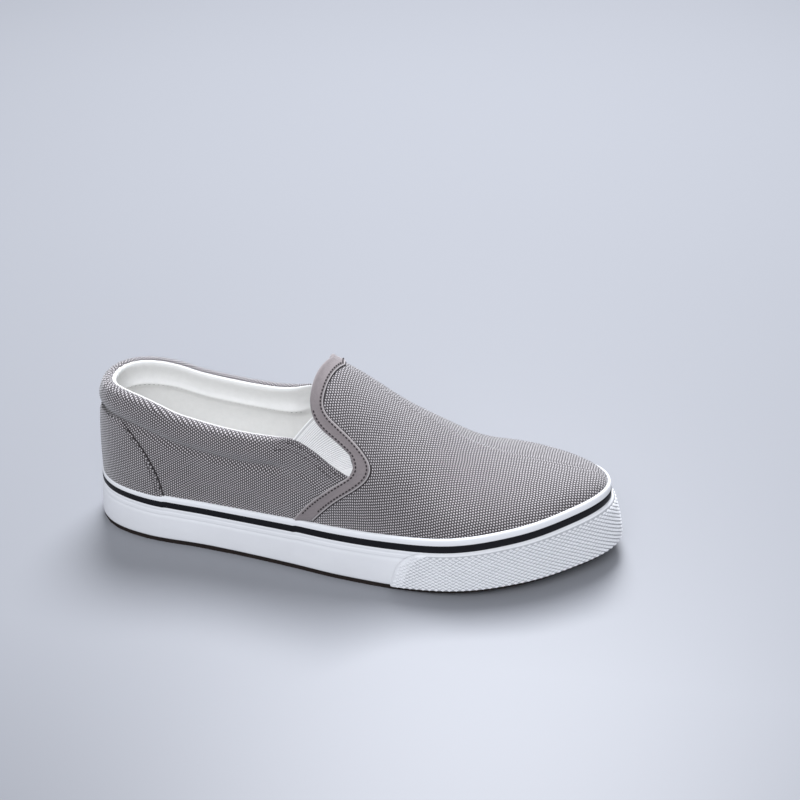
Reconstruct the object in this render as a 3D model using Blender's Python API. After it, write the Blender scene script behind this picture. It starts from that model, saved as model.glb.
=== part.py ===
# A canvas slip-on shoe for the right foot: a cupped rubber sole, one hollow canvas upper and its trims.
# Metres, +Z up, toe towards +X, outer side of the foot towards -Y. The shoe stands on z = 0.

import math

import bpy
import numpy as np

# Driving sizes of the shoe
sole_length = 0.290
ball_width = 0.106
instep_height = 0.104
heel_height = 0.090
toe_spring = 0.0077
gap = 0.0003

# Sole
outsole_thickness = 0.0023
outsole_setback = 0.0004
tread_depth = 0.0012
tread_rim = 0.0080
tread_pitch = 0.0090
tread_groove = 0.0026
tread_draft = 0.0004
floor_thickness = 0.0086
foxing_height = 0.0303
foxing_thickness = 0.0034
foxing_step = 0.0004
foxing_step_drop = 0.0024
wall_hollow = 1.6
wall_climbs = (0.3, 0.6, 1.0)
stripe_width = 0.0036
stripe_inset = 0.0017
band_width = 0.0029
band_inset = 0.0027
band_foot = 0.0003
band_belly = 0.0002
band_corner = 0.0004
toe_flare = 0.0033
toe_flare_start = 0.55
toe_flare_length = 0.25
bumper_thickness = 0.0018
bumper_start = 0.595
bumper_slant = 0.035
bumper_taper = 0.40
bumper_edge = 0.35
bumper_climbs = (0.0, 0.3, 0.6, 0.92)
insole_thickness = 0.0030
insole_rounds = (0.035, 0.965)

# Upper
wall = 0.0018
collar_thickness = 0.0075
collar_depth = 0.0165
collar_puff = 0.0015
cap_roundness = 0.80
throat_cap = 0.0004
binding_thickness = 0.0012
patch_thickness = 0.0010
gore_thickness = 0.0010
gore_recess = 0.0004
gore_clearance = 0.0003
lean_start = 0.005
heel_axis = 0.17
heel_axis_blend = 0.018

# How finely the curved pieces are divided
quarter_columns = 18
vamp_columns = 15
side_rows = 3
sole_stations = 34
bumper_stations = 18
insole_stations = 24
binding_stations = 22
binding_strips = 2
gore_strips = 4
patch_climbs = 8
patch_strips = 13
round_steps = 3
outsole_alongs = (0.002, 0.012, 0.03, 0.30, 0.36, 0.42, 0.47, 0.95, 0.97, 0.99, 0.998)

# Sections of the last, heel to toe. along: share of sole_length. outer, inner: half widths of the sole, and
# lean: how far the crown lies to the inner side, as shares of ball_width. crown: height as a share of
# instep_height. fullness: 2 is an elliptical section, more is squarer.
section_columns = ("along", "outer", "inner", "crown", "lean", "fullness")
sections = (
    (0.000, 0.000, 0.000, 1.270, 0.000, 2.90),
    (0.040, 0.226, 0.226, 1.270, 0.000, 2.55),
    (0.120, 0.316, 0.325, 1.250, 0.000, 2.05),
    (0.250, 0.358, 0.349, 1.190, 0.005, 2.00),
    (0.420, 0.443, 0.321, 1.058, 0.019, 2.00),
    (0.500, 0.491, 0.344, 0.942, 0.033, 1.95),
    (0.600, 0.528, 0.406, 0.749, 0.047, 1.85),
    (0.720, 0.533, 0.467, 0.588, 0.057, 1.80),
    (0.840, 0.429, 0.424, 0.492, 0.047, 1.95),
    (0.940, 0.245, 0.270, 0.464, 0.028, 2.20),
    (0.985, 0.118, 0.140, 0.445, 0.019, 2.40),
    (1.000, 0.000, 0.000, 0.395, 0.009, 2.40),
)

# Underside of the sole. lift: share of toe_spring.
spring_columns = ("along", "lift")
spring_rows = ((0.00, 0.0), (0.30, 0.0), (0.60, 0.0), (0.72, 0.35), (0.86, 0.66), (1.00, 1.0))

# Sidewall of the sole. top: share of foxing_height. strip: share of stripe_width and band_width.
foxing_columns = ("along", "top", "strip")
foxing_rows = (
    (0.00, 1.00, 1.00), (0.25, 0.94, 1.08), (0.50, 1.02, 1.16), (0.75, 1.13, 1.25), (1.00, 1.44, 1.33),
)

# Edge of the collar. height: share of heel_height.
rim_columns = ("along", "height")
rim_rows = (
    (0.000, 0.980), (0.050, 0.978), (0.085, 0.960), (0.140, 0.912), (0.180, 0.872),
    (0.220, 0.846), (0.260, 0.827), (0.300, 0.818), (0.340, 0.817), (0.380, 0.825),
    (0.415, 0.833), (0.450, 0.790), (0.490, 0.714), (0.530, 0.650),
)

# Padding below the collar's edge. depth: share of collar_depth. puff: share of collar_puff.
# fill: share of the padding's thickness.
collar_columns = ("depth", "puff", "fill")
collar_rows = (
    (0.00, 0.2, 1.00), (0.25, 0.8, 1.00), (0.50, 1.0, 0.95), (0.80, 0.5, 0.75), (0.95, -0.2, 0.55),
    (1.05, -0.3, 0.45), (1.25, 0.0, 0.30), (1.60, 0.0, 0.10), (2.00, 0.0, 0.00),
)
collar_row_depths = (1.50, 1.20, 1.00, 0.85, 0.62, 0.40)

# How far forward the padding reaches. pad: share of it that is left.
pad_columns = ("along", "pad")
pad_rows = ((0.00, 1.0), (0.34, 1.0), (0.37, 0.85), (0.40, 0.25), (0.42, 0.0), (0.60, 0.0))

# Binding of the vamp from the sole to the crown. rise: share of the quarter turn from the feather edge to
# the crown. The rear edge from the corner row upwards is also the edge of the throat and of the gore's slot.
binding_columns = ("rear_along", "rear_rise", "front_along", "front_rise")
binding_corner_row = 4
binding_rows = (
    (0.421, 0.118, 0.455, 0.142),
    (0.450, 0.203, 0.490, 0.241),
    (0.488, 0.300, 0.527, 0.340),
    (0.513, 0.365, 0.547, 0.405),
    (0.527, 0.411, 0.557, 0.455),
    (0.532, 0.458, 0.559, 0.498),
    (0.523, 0.506, 0.551, 0.533),
    (0.497, 0.527, 0.528, 0.566),
    (0.467, 0.548, 0.499, 0.591),
    (0.450, 0.585, 0.474, 0.616),
    (0.442, 0.648, 0.462, 0.665),
    (0.442, 0.743, 0.463, 0.768),
    (0.448, 0.862, 0.471, 0.892),
    (0.452, 1.000, 0.475, 1.000),
)
gore_top_along = 0.415
gore_rungs = (9, 8.5, 8, 7.5, 7, 6.5, 6, 5.5, 5, 4.6)

# Front edge of the heel patch. climb: share of the way from the sole's sidewall to the collar's groove.
patch_columns = ("climb", "along")
patch_rows = (
    (0.00, 0.154), (0.25, 0.147), (0.50, 0.134), (0.70, 0.116), (0.83, 0.098), (0.94, 0.081), (1.00, 0.068),
)
patch_top_depth = 1.15

# Where the tread's grooves run, as shares of sole_length, and the most that its rim and its draft may take
# of the sole's half width
tread_zones = ((0.05, 0.24), (0.50, 0.93))
tread_rim_most = 0.45
tread_draft_most = 0.10

OUTER = -1
INNER = 1


# Smooth curve through the points (xs, ys), read at x.
def smooth(xs, ys, x):
    xs = np.asarray(xs, float)
    ys = np.asarray(ys, float)
    x = np.clip(np.asarray(x, float), xs[0], xs[-1])
    step = np.diff(xs)
    slope = np.diff(ys) / step
    bend = np.empty(len(xs))
    bend[1:-1] = (slope[:-1] * step[1:] + slope[1:] * step[:-1]) / (step[:-1] + step[1:])
    bend[0] = 2 * slope[0] - bend[1]
    bend[-1] = 2 * slope[-1] - bend[-2]
    i = np.clip(np.searchsorted(xs, x) - 1, 0, len(xs) - 2)
    s = (x - xs[i]) / step[i]
    return ((1 + 2 * s) * (1 - s) ** 2 * ys[i] + s * (1 - s) ** 2 * step[i] * bend[i]
            + s * s * (3 - 2 * s) * ys[i + 1] + s * s * (s - 1) * step[i] * bend[i + 1])


def column(rows, names, name):
    return np.array([row[names.index(name)] for row in rows])


# The round parameter runs from 0 at the heel to 1 at the toe, closely spaced where the outline turns.
def round_from_along(along):
    return np.arccos(1 - 2 * np.clip(along, 0, 1)) / math.pi


def along_from_round(t):
    return (1 - np.cos(math.pi * np.asarray(t, float))) / 2


def section(name, t):
    knots = round_from_along(column(sections, section_columns, "along"))
    return smooth(knots, column(sections, section_columns, name), t)


def read(rows, names, name, along):
    return smooth(column(rows, names, names[0]), column(rows, names, name), along)


def sole_rise(along):
    return toe_spring * np.maximum(read(spring_rows, spring_columns, "lift", along), 0.0)


def floor_height(along):
    return outsole_thickness + gap + floor_thickness + sole_rise(along)


def foxing_top(along):
    return foxing_height * read(foxing_rows, foxing_columns, "top", along)


def strip_share(along):
    return read(foxing_rows, foxing_columns, "strip", along)


def sole_edge(t, side):
    turned = (t < 0) | (t > 1)
    t = np.where(t > 1, 2 - t, np.abs(t))
    name = {OUTER: "outer", INNER: "inner"}
    other = -side
    half = np.where(turned, section(name[other], t), section(name[side], t)) * ball_width
    sign = np.where(turned, other, side)
    return np.stack([sole_length * (along_from_round(t) - 0.5), sign * half], -1)


# The sole's outline seen from above, moved in by a set amount.
def outline(t, side, inset):
    t = np.asarray(t, float)
    probe = 1e-4
    run = sole_edge(t + probe, side) - sole_edge(t - probe, side)
    outward = np.stack([run[..., 1], -run[..., 0]], -1) * -side
    outward /= np.linalg.norm(outward, axis=-1, keepdims=True)
    return sole_edge(t, side) - outward * np.asarray(inset, float)[..., None]


def soft_maximum(a, b, blend):
    return (a + b + np.sqrt((a - b) ** 2 + blend ** 2)) / 2


def last_inset():
    return foxing_thickness + gap


# Share of the height from the feather edge to the crown that a rise stands for, and the other way round.
def height_share(t, rise):
    return np.sin(np.asarray(rise, float) * math.pi / 2) ** (2 / section("fullness", t))


def rise_at_height(t, height):
    foot = floor_height(along_from_round(t)) + gap
    share = (height - foot) / (section("crown", t) * instep_height - foot)
    return np.arcsin(np.clip(share, 0, 1) ** (section("fullness", t) / 2)) * 2 / math.pi


def last_surface(t, side, rise):
    foot = outline(t, side, last_inset() + 0 * t)
    rear_axis = sole_length * (heel_axis - 0.5)
    tip = sole_length / 2 - last_inset()
    excess = soft_maximum(tip, rear_axis, heel_axis_blend) - tip
    along = along_from_round(t)
    centre_x = soft_maximum(foot[..., 0], rear_axis, heel_axis_blend) - excess * along
    centre_y = section("lean", t) * ball_width
    low = floor_height(along) + gap
    high = section("crown", t) * instep_height
    height = low + (high - low) * height_share(t, rise)
    upright = foxing_top(along) - lean_start
    climb = np.clip((height - upright) / (high - upright), 0, 1)
    fullness = section("fullness", t)
    inward = 1 - (1 - climb ** fullness) ** (1 / fullness)
    return np.stack([
        foot[..., 0] + (centre_x - foot[..., 0]) * inward,
        foot[..., 1] + (centre_y - foot[..., 1]) * inward,
        height,
    ], -1)


# A point of the last, lifted off its surface.
def last_point(t, side, rise, lift):
    t = np.asarray(t, float)
    rise = np.asarray(rise, float)
    probe_t = 1e-3
    probe_r = 1e-2
    ahead = last_surface(np.minimum(t + probe_t, 1), side, rise)
    behind = last_surface(np.maximum(t - probe_t, 0), side, rise)
    above = last_surface(t, side, np.minimum(rise + probe_r, 1))
    below = last_surface(t, side, np.maximum(rise - probe_r, 0))
    normal = np.cross(ahead - behind, above - below) * -side
    normal /= np.linalg.norm(normal, axis=-1, keepdims=True)
    return last_surface(t, side, rise) + normal * np.asarray(lift, float)[..., None]


def rim_height(along):
    return heel_height * read(rim_rows, rim_columns, "height", along)


def padding(along):
    return np.clip(read(pad_rows, pad_columns, "pad", along), 0, 1)


def collar_value(name, depth):
    return read(collar_rows, collar_columns, name, depth / collar_depth)


# Lift of the upper's outer face and thickness of its wall, at a depth below the collar's edge.
def upper_lift(along, depth):
    return padding(along) * collar_puff * collar_value("puff", depth)


def upper_thickness(along, depth):
    return wall + (collar_thickness - wall) * padding(along) * np.clip(collar_value("fill", depth), 0, 1)


def binding_value(name, row):
    return smooth(range(len(binding_rows)), column(binding_rows, binding_columns, name), row)


def remove_everything():
    for item in list(bpy.data.objects):
        bpy.data.objects.remove(item, do_unlink=True)


def finish_for(name, colour, roughness):
    made = bpy.data.materials.new(name)
    made.use_nodes = True
    shader = made.node_tree.nodes["Principled BSDF"]
    shader.inputs["Base Color"].default_value = (*colour, 1)
    shader.inputs["Roughness"].default_value = roughness
    shader.inputs["Metallic"].default_value = 0
    return made


def add_piece(name, points, faces, finish, crease_degrees):
    mesh = bpy.data.meshes.new(name)
    mesh.from_pydata([tuple(p) for p in points], [], faces)
    mesh.materials.append(finish)
    mesh.update()
    mesh.shade_smooth()
    mesh.set_sharp_from_angle(angle=math.radians(crease_degrees))
    piece = bpy.data.objects.new(name, mesh)
    bpy.context.scene.collection.objects.link(piece)
    return piece


# Six times the volume inside a closed set of faces: below zero where they face inwards.
def signed_size(points, faces):
    total = 0.0
    for face in faces:
        for k in range(1, len(face) - 1):
            a, b, c = points[face[0]], points[face[k]], points[face[k + 1]]
            total += np.dot(a, np.cross(b, c))
    return total


def facing_out(points, faces):
    if signed_size(points, faces) < 0:
        return [tuple(reversed(face)) for face in faces]
    return faces


# A wall between an outer and an inner sheet of the same quads. Each of its open edges is closed by a round
# cap of the given height at each point, or straight across where that height is 0.
def add_shell(name, outer, inner, quads, cap, finish, crease_degrees=40):
    outer = np.asarray(outer, float)
    inner = np.asarray(inner, float)
    count = len(outer)
    directed = {}
    for quad in quads:
        for a, b in zip(quad, quad[1:] + quad[:1]):
            directed[(a, b)] = quad
    border = [(a, b, quad) for (a, b), quad in directed.items() if (b, a) not in directed]
    beyond = {}
    for a, b, quad in border:
        run = outer[b] - outer[a]
        run /= np.linalg.norm(run)
        away = (outer[a] + outer[b]) / 2 - outer[list(quad)].mean(axis=0)
        away -= run * np.dot(away, run)
        away /= np.linalg.norm(away)
        for k in (a, b):
            beyond[k] = beyond.get(k, np.zeros(3)) + away
    points = [*outer, *inner]
    rings = {}
    for k, away in beyond.items():
        ring = [k]
        if cap[k] > 0:
            away = away / np.linalg.norm(away)
            middle = (outer[k] + inner[k]) / 2
            half = (outer[k] - inner[k]) / 2
            for step in range(1, round_steps):
                turn = math.pi * step / round_steps
                ring.append(len(points))
                points.append(middle + half * math.cos(turn) + away * cap[k] * math.sin(turn))
        ring.append(k + count)
        rings[k] = ring
    faces = [tuple(quad) for quad in quads]
    faces += [tuple(k + count for k in reversed(quad)) for quad in quads]
    for a, b, quad in border:
        for k in range(len(rings[a]) - 1):
            faces.append((rings[b][k], rings[a][k], rings[a][k + 1], rings[b][k + 1]))
    return add_piece(name, points, facing_out(np.array(points), faces), finish, crease_degrees)


# A shell on the last whose corners are given as rows of (t, side, rise).
def add_panel(name, rows, lift_out, lift_in, cap, finish):
    across = len(rows[0])
    outer = []
    inner = []
    for row in rows:
        for t, side, rise in row:
            outer.append(last_point(t, side, rise, lift_out))
            inner.append(last_point(t, side, rise, lift_in))
    quads = []
    for i in range(len(rows) - 1):
        for j in range(across - 1):
            k = i * across + j
            quads.append((k, k + 1, k + 1 + across, k + across))
    caps = [cap] * len(outer)
    return add_shell(name, outer, inner, quads, caps, finish)


# A solid swept through stations, each a closed loop of points. A ring joins its last station to its first.
def add_sweep(name, stations, is_ring, finish, crease_degrees=40):
    count = len(stations[0])
    points = [p for station in stations for p in station]
    faces = []
    spans = len(stations) if is_ring else len(stations) - 1
    for i in range(spans):
        a = i * count
        b = (i + 1) % len(stations) * count
        for j in range(count):
            n = (j + 1) % count
            faces.append((a + j, b + j, b + n, a + n))
    if not is_ring:
        faces.append(tuple(range(count)))
        faces.append(tuple(reversed(range(len(points) - count, len(points)))))
    return add_piece(name, points, facing_out(np.array(points), faces), finish, crease_degrees)


# Stations around the whole sole, outer side from heel to toe and back along the inner side.
def around_the_sole():
    steps = np.linspace(0, 1, sole_stations + 1)
    return [(t, OUTER) for t in steps] + [(t, INNER) for t in steps[-2:0:-1]]


def at_inset(t, side, inset, height):
    x, y = outline(t, side, inset)
    return np.array([x, y, height])


def toe_share(along):
    s = np.clip((along - toe_flare_start) / toe_flare_length, 0, 1)
    return s * s * (3 - 2 * s)


def stripe_bottom(along):
    return foxing_top(along) - (band_width + stripe_width) * strip_share(along)


def stripe_top(along):
    return foxing_top(along) - band_width * strip_share(along)


# Inset of the sidewall's outer face at a share of its height from the underside to the stripe.
def wall_inset(along, climb):
    flare = toe_flare * toe_share(along)
    return -flare + (stripe_inset - foxing_step + flare) * climb ** wall_hollow


def add_outsole(finish):
    edge = outsole_setback
    starts = []
    for low, high in tread_zones:
        count = int((high - low) * sole_length / tread_pitch)
        starts += [low + k * tread_pitch / sole_length for k in range(count)]
    stations = [(round_from_along(along), False) for along in outsole_alongs]
    draft = tread_draft / sole_length
    width = tread_groove / sole_length
    for start in starts:
        end = start + width
        for along, is_groove in ((start, False), (start + draft, True), (end, True), (end + draft, False)):
            stations.append((round_from_along(along), is_groove))
    loops = []
    for t, is_groove in sorted(stations):
        along = along_from_round(t)
        low = sole_rise(along)
        high = low + outsole_thickness
        dent = tread_depth if is_groove else 0.0
        inset = edge + wall_inset(along, 0.0)
        half = abs(outline(t, OUTER, inset)[1] - outline(t, INNER, inset)[1]) / 2
        rim = min(tread_rim, half * tread_rim_most)
        slope = min(tread_draft, half * tread_draft_most)
        loop = [at_inset(t, OUTER, inset, high), at_inset(t, OUTER, inset, low)]
        outer_edge = loop[1]
        inner_edge = at_inset(t, INNER, inset, low)
        across = (inner_edge - outer_edge) / np.linalg.norm(inner_edge - outer_edge)
        loop.append(outer_edge + across * rim)
        loop.append(outer_edge + across * (rim + slope) + np.array([0, 0, dent]))
        loop.append(inner_edge - across * (rim + slope) + np.array([0, 0, dent]))
        loop.append(inner_edge - across * rim)
        loop.append(inner_edge)
        loop.append(at_inset(t, INNER, inset, high))
        loops.append(loop)
    return add_sweep("outsole", loops, False, finish, 25)


def add_midsole(finish):
    ring = around_the_sole()
    count = len(ring)
    rows = []
    for t, side in ring:
        along = along_from_round(t)
        low = outsole_thickness + gap + sole_rise(along)
        top = stripe_bottom(along) - gap
        step_at = top - foxing_step_drop
        inside = foxing_thickness
        profile = [(wall_inset(along, 0.0), low)]
        for climb in wall_climbs:
            profile.append((wall_inset(along, climb), low + (step_at - low) * climb))
        profile.append((stripe_inset, step_at + foxing_step))
        profile.append((stripe_inset, top))
        profile.append((inside, top))
        profile.append((inside, floor_height(along)))
        rows.append([at_inset(t, side, inset, height) for inset, height in profile])
    depth = len(rows[0])
    points = [p for row in rows for p in row]
    faces = []
    for i in range(count):
        a = i * depth
        b = (i + 1) % count * depth
        for j in range(depth - 1):
            faces.append((a + j, b + j, b + j + 1, a + j + 1))
    for j, is_floor in ((0, False), (depth - 1, True)):
        for i in range(sole_stations):
            left = i * depth + j
            left_next = (i + 1) * depth + j
            right = (count - i) % count * depth + j
            right_next = (count - i - 1) * depth + j
            face = [left, right, right_next, left_next]
            face = [k for n, k in enumerate(face) if k not in face[:n]]
            faces.append(tuple(reversed(face)) if is_floor else tuple(face))
    return add_piece("midsole", points, facing_out(np.array(points), faces), finish, 35)


def add_foxing_stripe(finish):
    loops = []
    for t, side in around_the_sole():
        along = along_from_round(t)
        low, high = stripe_bottom(along), stripe_top(along) - gap
        loops.append([
            at_inset(t, side, stripe_inset, low),
            at_inset(t, side, stripe_inset, high),
            at_inset(t, side, foxing_thickness, high),
            at_inset(t, side, foxing_thickness, low),
        ])
    return add_sweep("foxing_stripe", loops, True, finish)


def add_foxing_band(finish):
    loops = []
    for t, side in around_the_sole():
        along = along_from_round(t)
        low, high = stripe_top(along), foxing_top(along)
        middle = (low + high) / 2
        loops.append([
            at_inset(t, side, stripe_inset + band_foot, low),
            at_inset(t, side, (stripe_inset + band_inset) / 2 - band_belly, middle),
            at_inset(t, side, band_inset, high - band_corner),
            at_inset(t, side, band_inset + band_corner, high),
            at_inset(t, side, foxing_thickness, high),
            at_inset(t, side, foxing_thickness, low),
        ])
    return add_sweep("foxing_band", loops, True, finish)


def add_toe_bumper(finish):
    reach = np.linspace(0, 1, bumper_stations)
    loops = []
    for share, side in [(r, OUTER) for r in reach] + [(r, INNER) for r in reach[-2::-1]]:
        inner_side = []
        outer_side = []
        for climb in bumper_climbs:
            start = round_from_along(bumper_start + bumper_slant * climb)
            t = start + (1 - start) * share
            along = along_from_round(t)
            low = outsole_thickness + gap + sole_rise(along)
            step_at = stripe_bottom(along) - gap - foxing_step_drop
            inset = wall_inset(along, climb)
            height = low + (step_at - low) * climb
            swell = bumper_thickness * (1 - bumper_taper * climb)
            if share == 0:
                swell *= bumper_edge
            inner_side.append(at_inset(t, side, inset - gap, height))
            outer_side.append(at_inset(t, side, inset - gap - swell, height))
        loops.append(outer_side + inner_side[::-1])
    return add_sweep("toe_bumper", loops, False, finish, 50)


def add_insole(finish):
    loops = []
    inset = last_inset() + wall + gap
    for t in np.linspace(*insole_rounds, insole_stations):
        along = along_from_round(t)
        low = floor_height(along) + gap
        high = low + insole_thickness
        loops.append([
            at_inset(t, OUTER, inset, low), at_inset(t, INNER, inset, low),
            at_inset(t, INNER, inset, high), at_inset(t, OUTER, inset, high),
        ])
    return add_sweep("insole", loops, False, finish)


# The corner where the vamp, the quarter and the gore meet.
def corner_round():
    return float(round_from_along(binding_rows[binding_corner_row][0]))


def rim_cap(along):
    return cap_roundness * upper_thickness(along, 0.0) / 2


# Heights of the quarter's rows at one station, from the feather edge to where the rim starts to turn over.
def quarter_heights(t):
    along = along_from_round(t)
    foot = floor_height(along) + gap
    rim = rim_height(along)
    shoulder = rim - collar_row_depths[0] * collar_depth
    heights = [foot + (shoulder - foot) * k / side_rows for k in range(side_rows)]
    heights += [rim - depth * collar_depth for depth in collar_row_depths]
    heights.append(rim - rim_cap(along))
    return np.array(heights)


def add_upper(finish):
    corner = corner_round()
    corner_rises = rise_at_height(corner, quarter_heights(corner))
    edge_rows = np.arange(binding_corner_row + 1, len(binding_rows))
    edge_rounds = round_from_along(binding_value("rear_along", edge_rows))
    edge_rises = binding_value("rear_rise", edge_rows)
    low_rows = len(corner_rises)
    high_rows = len(edge_rows)
    top = low_rows + high_rows - 1
    outer = []
    inner = []
    caps = []
    index = {}

    def add_point(key, t, side, rise, depth, cap):
        along = along_from_round(t)
        lift = upper_lift(along, depth)
        outer.append(last_point(t, side, rise, lift))
        inner.append(last_point(t, side, rise, lift - upper_thickness(along, depth)))
        caps.append(cap)
        index[key] = len(outer) - 1

    collar_end = collar_rows[-1][0] * collar_depth
    quads = []
    for side in (OUTER, INNER):
        for i in range(quarter_columns + 1):
            t = corner * i / quarter_columns
            along = along_from_round(t)
            heights = quarter_heights(t)
            rises = rise_at_height(t, heights)
            for j in range(low_rows):
                key = ("quarter", side, i, j)
                if i == 0 and side == INNER:
                    index[key] = index[("quarter", OUTER, 0, j)]
                    continue
                depth = rim_height(along) - heights[j]
                is_rim = j == low_rows - 1
                add_point(key, t, side, rises[j], depth, rim_cap(along) if is_rim else 0.0)
        for i in range(vamp_columns + 1):
            share = i / vamp_columns
            even = corner_rises[-1] + (1 - corner_rises[-1]) * np.arange(1, high_rows + 1) / high_rows
            rises = np.concatenate([corner_rises, edge_rises * (1 - share) + even * share])
            rounds = np.concatenate([np.full(low_rows, corner), edge_rounds])
            rounds = rounds + (1 - rounds) * share
            for j in range(top + 1):
                key = ("vamp", side, i, j)
                if i == 0 and j < low_rows:
                    index[key] = index[("quarter", side, quarter_columns, j)]
                    continue
                if side == INNER and (j == top or i == vamp_columns):
                    index[key] = index[("vamp", OUTER, i, j)]
                    continue
                add_point(key, rounds[j], side, rises[j], collar_end, throat_cap if i == 0 else 0.0)
        for part, columns, rows in (("quarter", quarter_columns, low_rows - 1), ("vamp", vamp_columns, top)):
            for i in range(columns):
                for j in range(rows):
                    quad = [index[(part, side, i, j)], index[(part, side, i + 1, j)],
                            index[(part, side, i + 1, j + 1)], index[(part, side, i, j + 1)]]
                    quads.append(tuple(quad if side == OUTER else reversed(quad)))
    return add_shell("upper", outer, inner, quads, caps, finish)


# The edge of the throat and of the gore's slot, straight between the binding's rows as on the upper.
def slot_edge(number):
    low = int(min(number, len(binding_rows) - 2))
    share = number - low
    ends = [(round_from_along(binding_rows[n][0]), binding_rows[n][1]) for n in (low, low + 1)]
    return [ends[0][k] + (ends[1][k] - ends[0][k]) * share for k in (0, 1)]


def add_gore(name, side, finish):
    clear = gap + throat_cap + gore_clearance
    corner_along = binding_rows[binding_corner_row][0]
    grid = []
    for number in gore_rungs:
        share = (gore_rungs[0] - number) / (gore_rungs[0] - binding_corner_row)
        front_t, front_rise = slot_edge(number)
        low_along = gore_top_along + (corner_along - gore_top_along) * share
        low_t = round_from_along(low_along)
        low_rise = rise_at_height(low_t, rim_height(low_along))
        width = np.linalg.norm(last_surface(front_t, side, front_rise) - last_surface(low_t, side, low_rise))
        line = []
        for j in range(gore_strips + 1):
            s = clear / width + (1 - 2 * clear / width) * j / gore_strips
            t = low_t + (front_t - low_t) * s
            rise = low_rise + (front_rise - low_rise) * s
            line.append((float(t), side, float(rise)))
        grid.append(line)
    return add_panel(name, grid, -gore_recess, -gore_recess - gore_thickness, 0.0, finish)


def add_binding(finish):
    grid = []
    numbers = np.linspace(0, len(binding_rows) - 1, binding_stations + 1)
    route = [(n, OUTER) for n in numbers] + [(n, INNER) for n in numbers[-2::-1]]
    for number, side in route:
        rear_t = round_from_along(binding_value("rear_along", number))
        front_t = round_from_along(binding_value("front_along", number))
        rear_rise = min(binding_value("rear_rise", number), 1.0)
        front_rise = min(binding_value("front_rise", number), 1.0)
        line = []
        for j in range(binding_strips + 1):
            s = j / binding_strips
            t = rear_t + (front_t - rear_t) * s
            rise = rear_rise + (front_rise - rear_rise) * s
            sole_line = rise_at_height(t, foxing_top(along_from_round(t)) + gap)
            line.append((float(t), side, float(max(rise, sole_line))))
        grid.append(line)
    return add_panel("vamp_binding", grid, gap + binding_thickness, gap, 0.0, finish)


def add_heel_patch(finish):
    grid = []
    for i in range(patch_climbs + 1):
        climb = i / patch_climbs
        front = round_from_along(read(patch_rows, patch_columns, "along", climb))
        line = []
        for k in range(-patch_strips, patch_strips + 1):
            t = float(front * abs(k) / patch_strips)
            along = along_from_round(t)
            low = foxing_top(along) + gap
            high = rim_height(along) - patch_top_depth * collar_depth
            rise = float(rise_at_height(t, low + (high - low) * climb))
            line.append((t, OUTER if k < 0 else INNER, rise))
        grid.append(line)
    return add_panel("heel_patch", grid, gap + patch_thickness, gap, 0.0, finish)


def build_shoe():
    remove_everything()
    dark_rubber = finish_for("dark_rubber", (0.035, 0.026, 0.022), 0.60)
    black_rubber = finish_for("black_rubber", (0.010, 0.010, 0.012), 0.40)
    white_rubber = finish_for("white_rubber", (0.80, 0.81, 0.83), 0.42)
    canvas = finish_for("grey_canvas", (0.165, 0.150, 0.150), 0.90)
    trim = finish_for("grey_trim", (0.200, 0.178, 0.175), 0.85)
    elastic = finish_for("white_elastic", (0.74, 0.74, 0.73), 0.80)
    lining = finish_for("insole_cloth", (0.70, 0.71, 0.66), 0.90)
    pieces = [
        add_outsole(dark_rubber),
        add_midsole(white_rubber),
        add_foxing_stripe(black_rubber),
        add_foxing_band(white_rubber),
        add_toe_bumper(white_rubber),
        add_insole(lining),
        add_upper(canvas),
        add_gore("gore_outer", OUTER, elastic),
        add_gore("gore_inner", INNER, elastic),
        add_binding(trim),
        add_heel_patch(canvas),
    ]
    # the shoe is centred over the origin by its empty
    corners = np.array([tuple(v.co) for piece in pieces for v in piece.data.vertices])
    centre = (corners.min(axis=0) + corners.max(axis=0)) / 2
    shoe = bpy.data.objects.new("shoe", None)
    bpy.context.scene.collection.objects.link(shoe)
    shoe.location = (-centre[0], -centre[1], 0)
    for piece in pieces:
        piece.parent = shoe


build_shoe()
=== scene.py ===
# Grey canvas slip-on for the right foot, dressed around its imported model.
# Metres, toe towards +X, outer side towards -Y.
import math

import bpy
import numpy as np
from mathutils import Matrix, Vector


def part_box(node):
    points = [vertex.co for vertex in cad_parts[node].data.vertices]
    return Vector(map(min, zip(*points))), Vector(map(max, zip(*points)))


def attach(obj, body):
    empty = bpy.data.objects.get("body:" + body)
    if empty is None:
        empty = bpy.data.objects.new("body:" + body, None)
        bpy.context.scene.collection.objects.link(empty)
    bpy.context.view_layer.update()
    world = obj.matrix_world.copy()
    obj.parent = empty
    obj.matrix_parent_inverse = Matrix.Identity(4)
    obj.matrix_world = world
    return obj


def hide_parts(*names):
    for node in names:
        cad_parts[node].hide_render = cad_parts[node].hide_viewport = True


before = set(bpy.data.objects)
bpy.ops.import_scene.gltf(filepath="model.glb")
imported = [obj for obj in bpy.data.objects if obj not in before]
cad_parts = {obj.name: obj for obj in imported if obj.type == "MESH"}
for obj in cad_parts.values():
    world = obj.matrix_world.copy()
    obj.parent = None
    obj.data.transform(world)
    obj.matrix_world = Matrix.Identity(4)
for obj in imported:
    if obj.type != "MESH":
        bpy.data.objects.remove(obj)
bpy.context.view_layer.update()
print("frame loaded")

outer, inner = -1, 1

# Sizes that the model was cut to
shoe = {
    "soleLength": 0.290, "ballWidth": 0.106, "instepHeight": 0.104, "heelHeight": 0.090, "toeSpring": 0.0077,
    "gap": 0.0003, "outsoleThickness": 0.0023, "floorThickness": 0.0086, "insoleThickness": 0.0030,
    "foxingHeight": 0.0303, "foxingThickness": 0.0034, "leanStart": 0.005, "heelAxis": 0.17, "heelAxisBlend": 0.018,
    "wall": 0.0018, "collarThickness": 0.0075, "collarDepth": 0.0165, "collarPuff": 0.0015, "capRoundness": 0.80,
}
gap = shoe["gap"]

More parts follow.
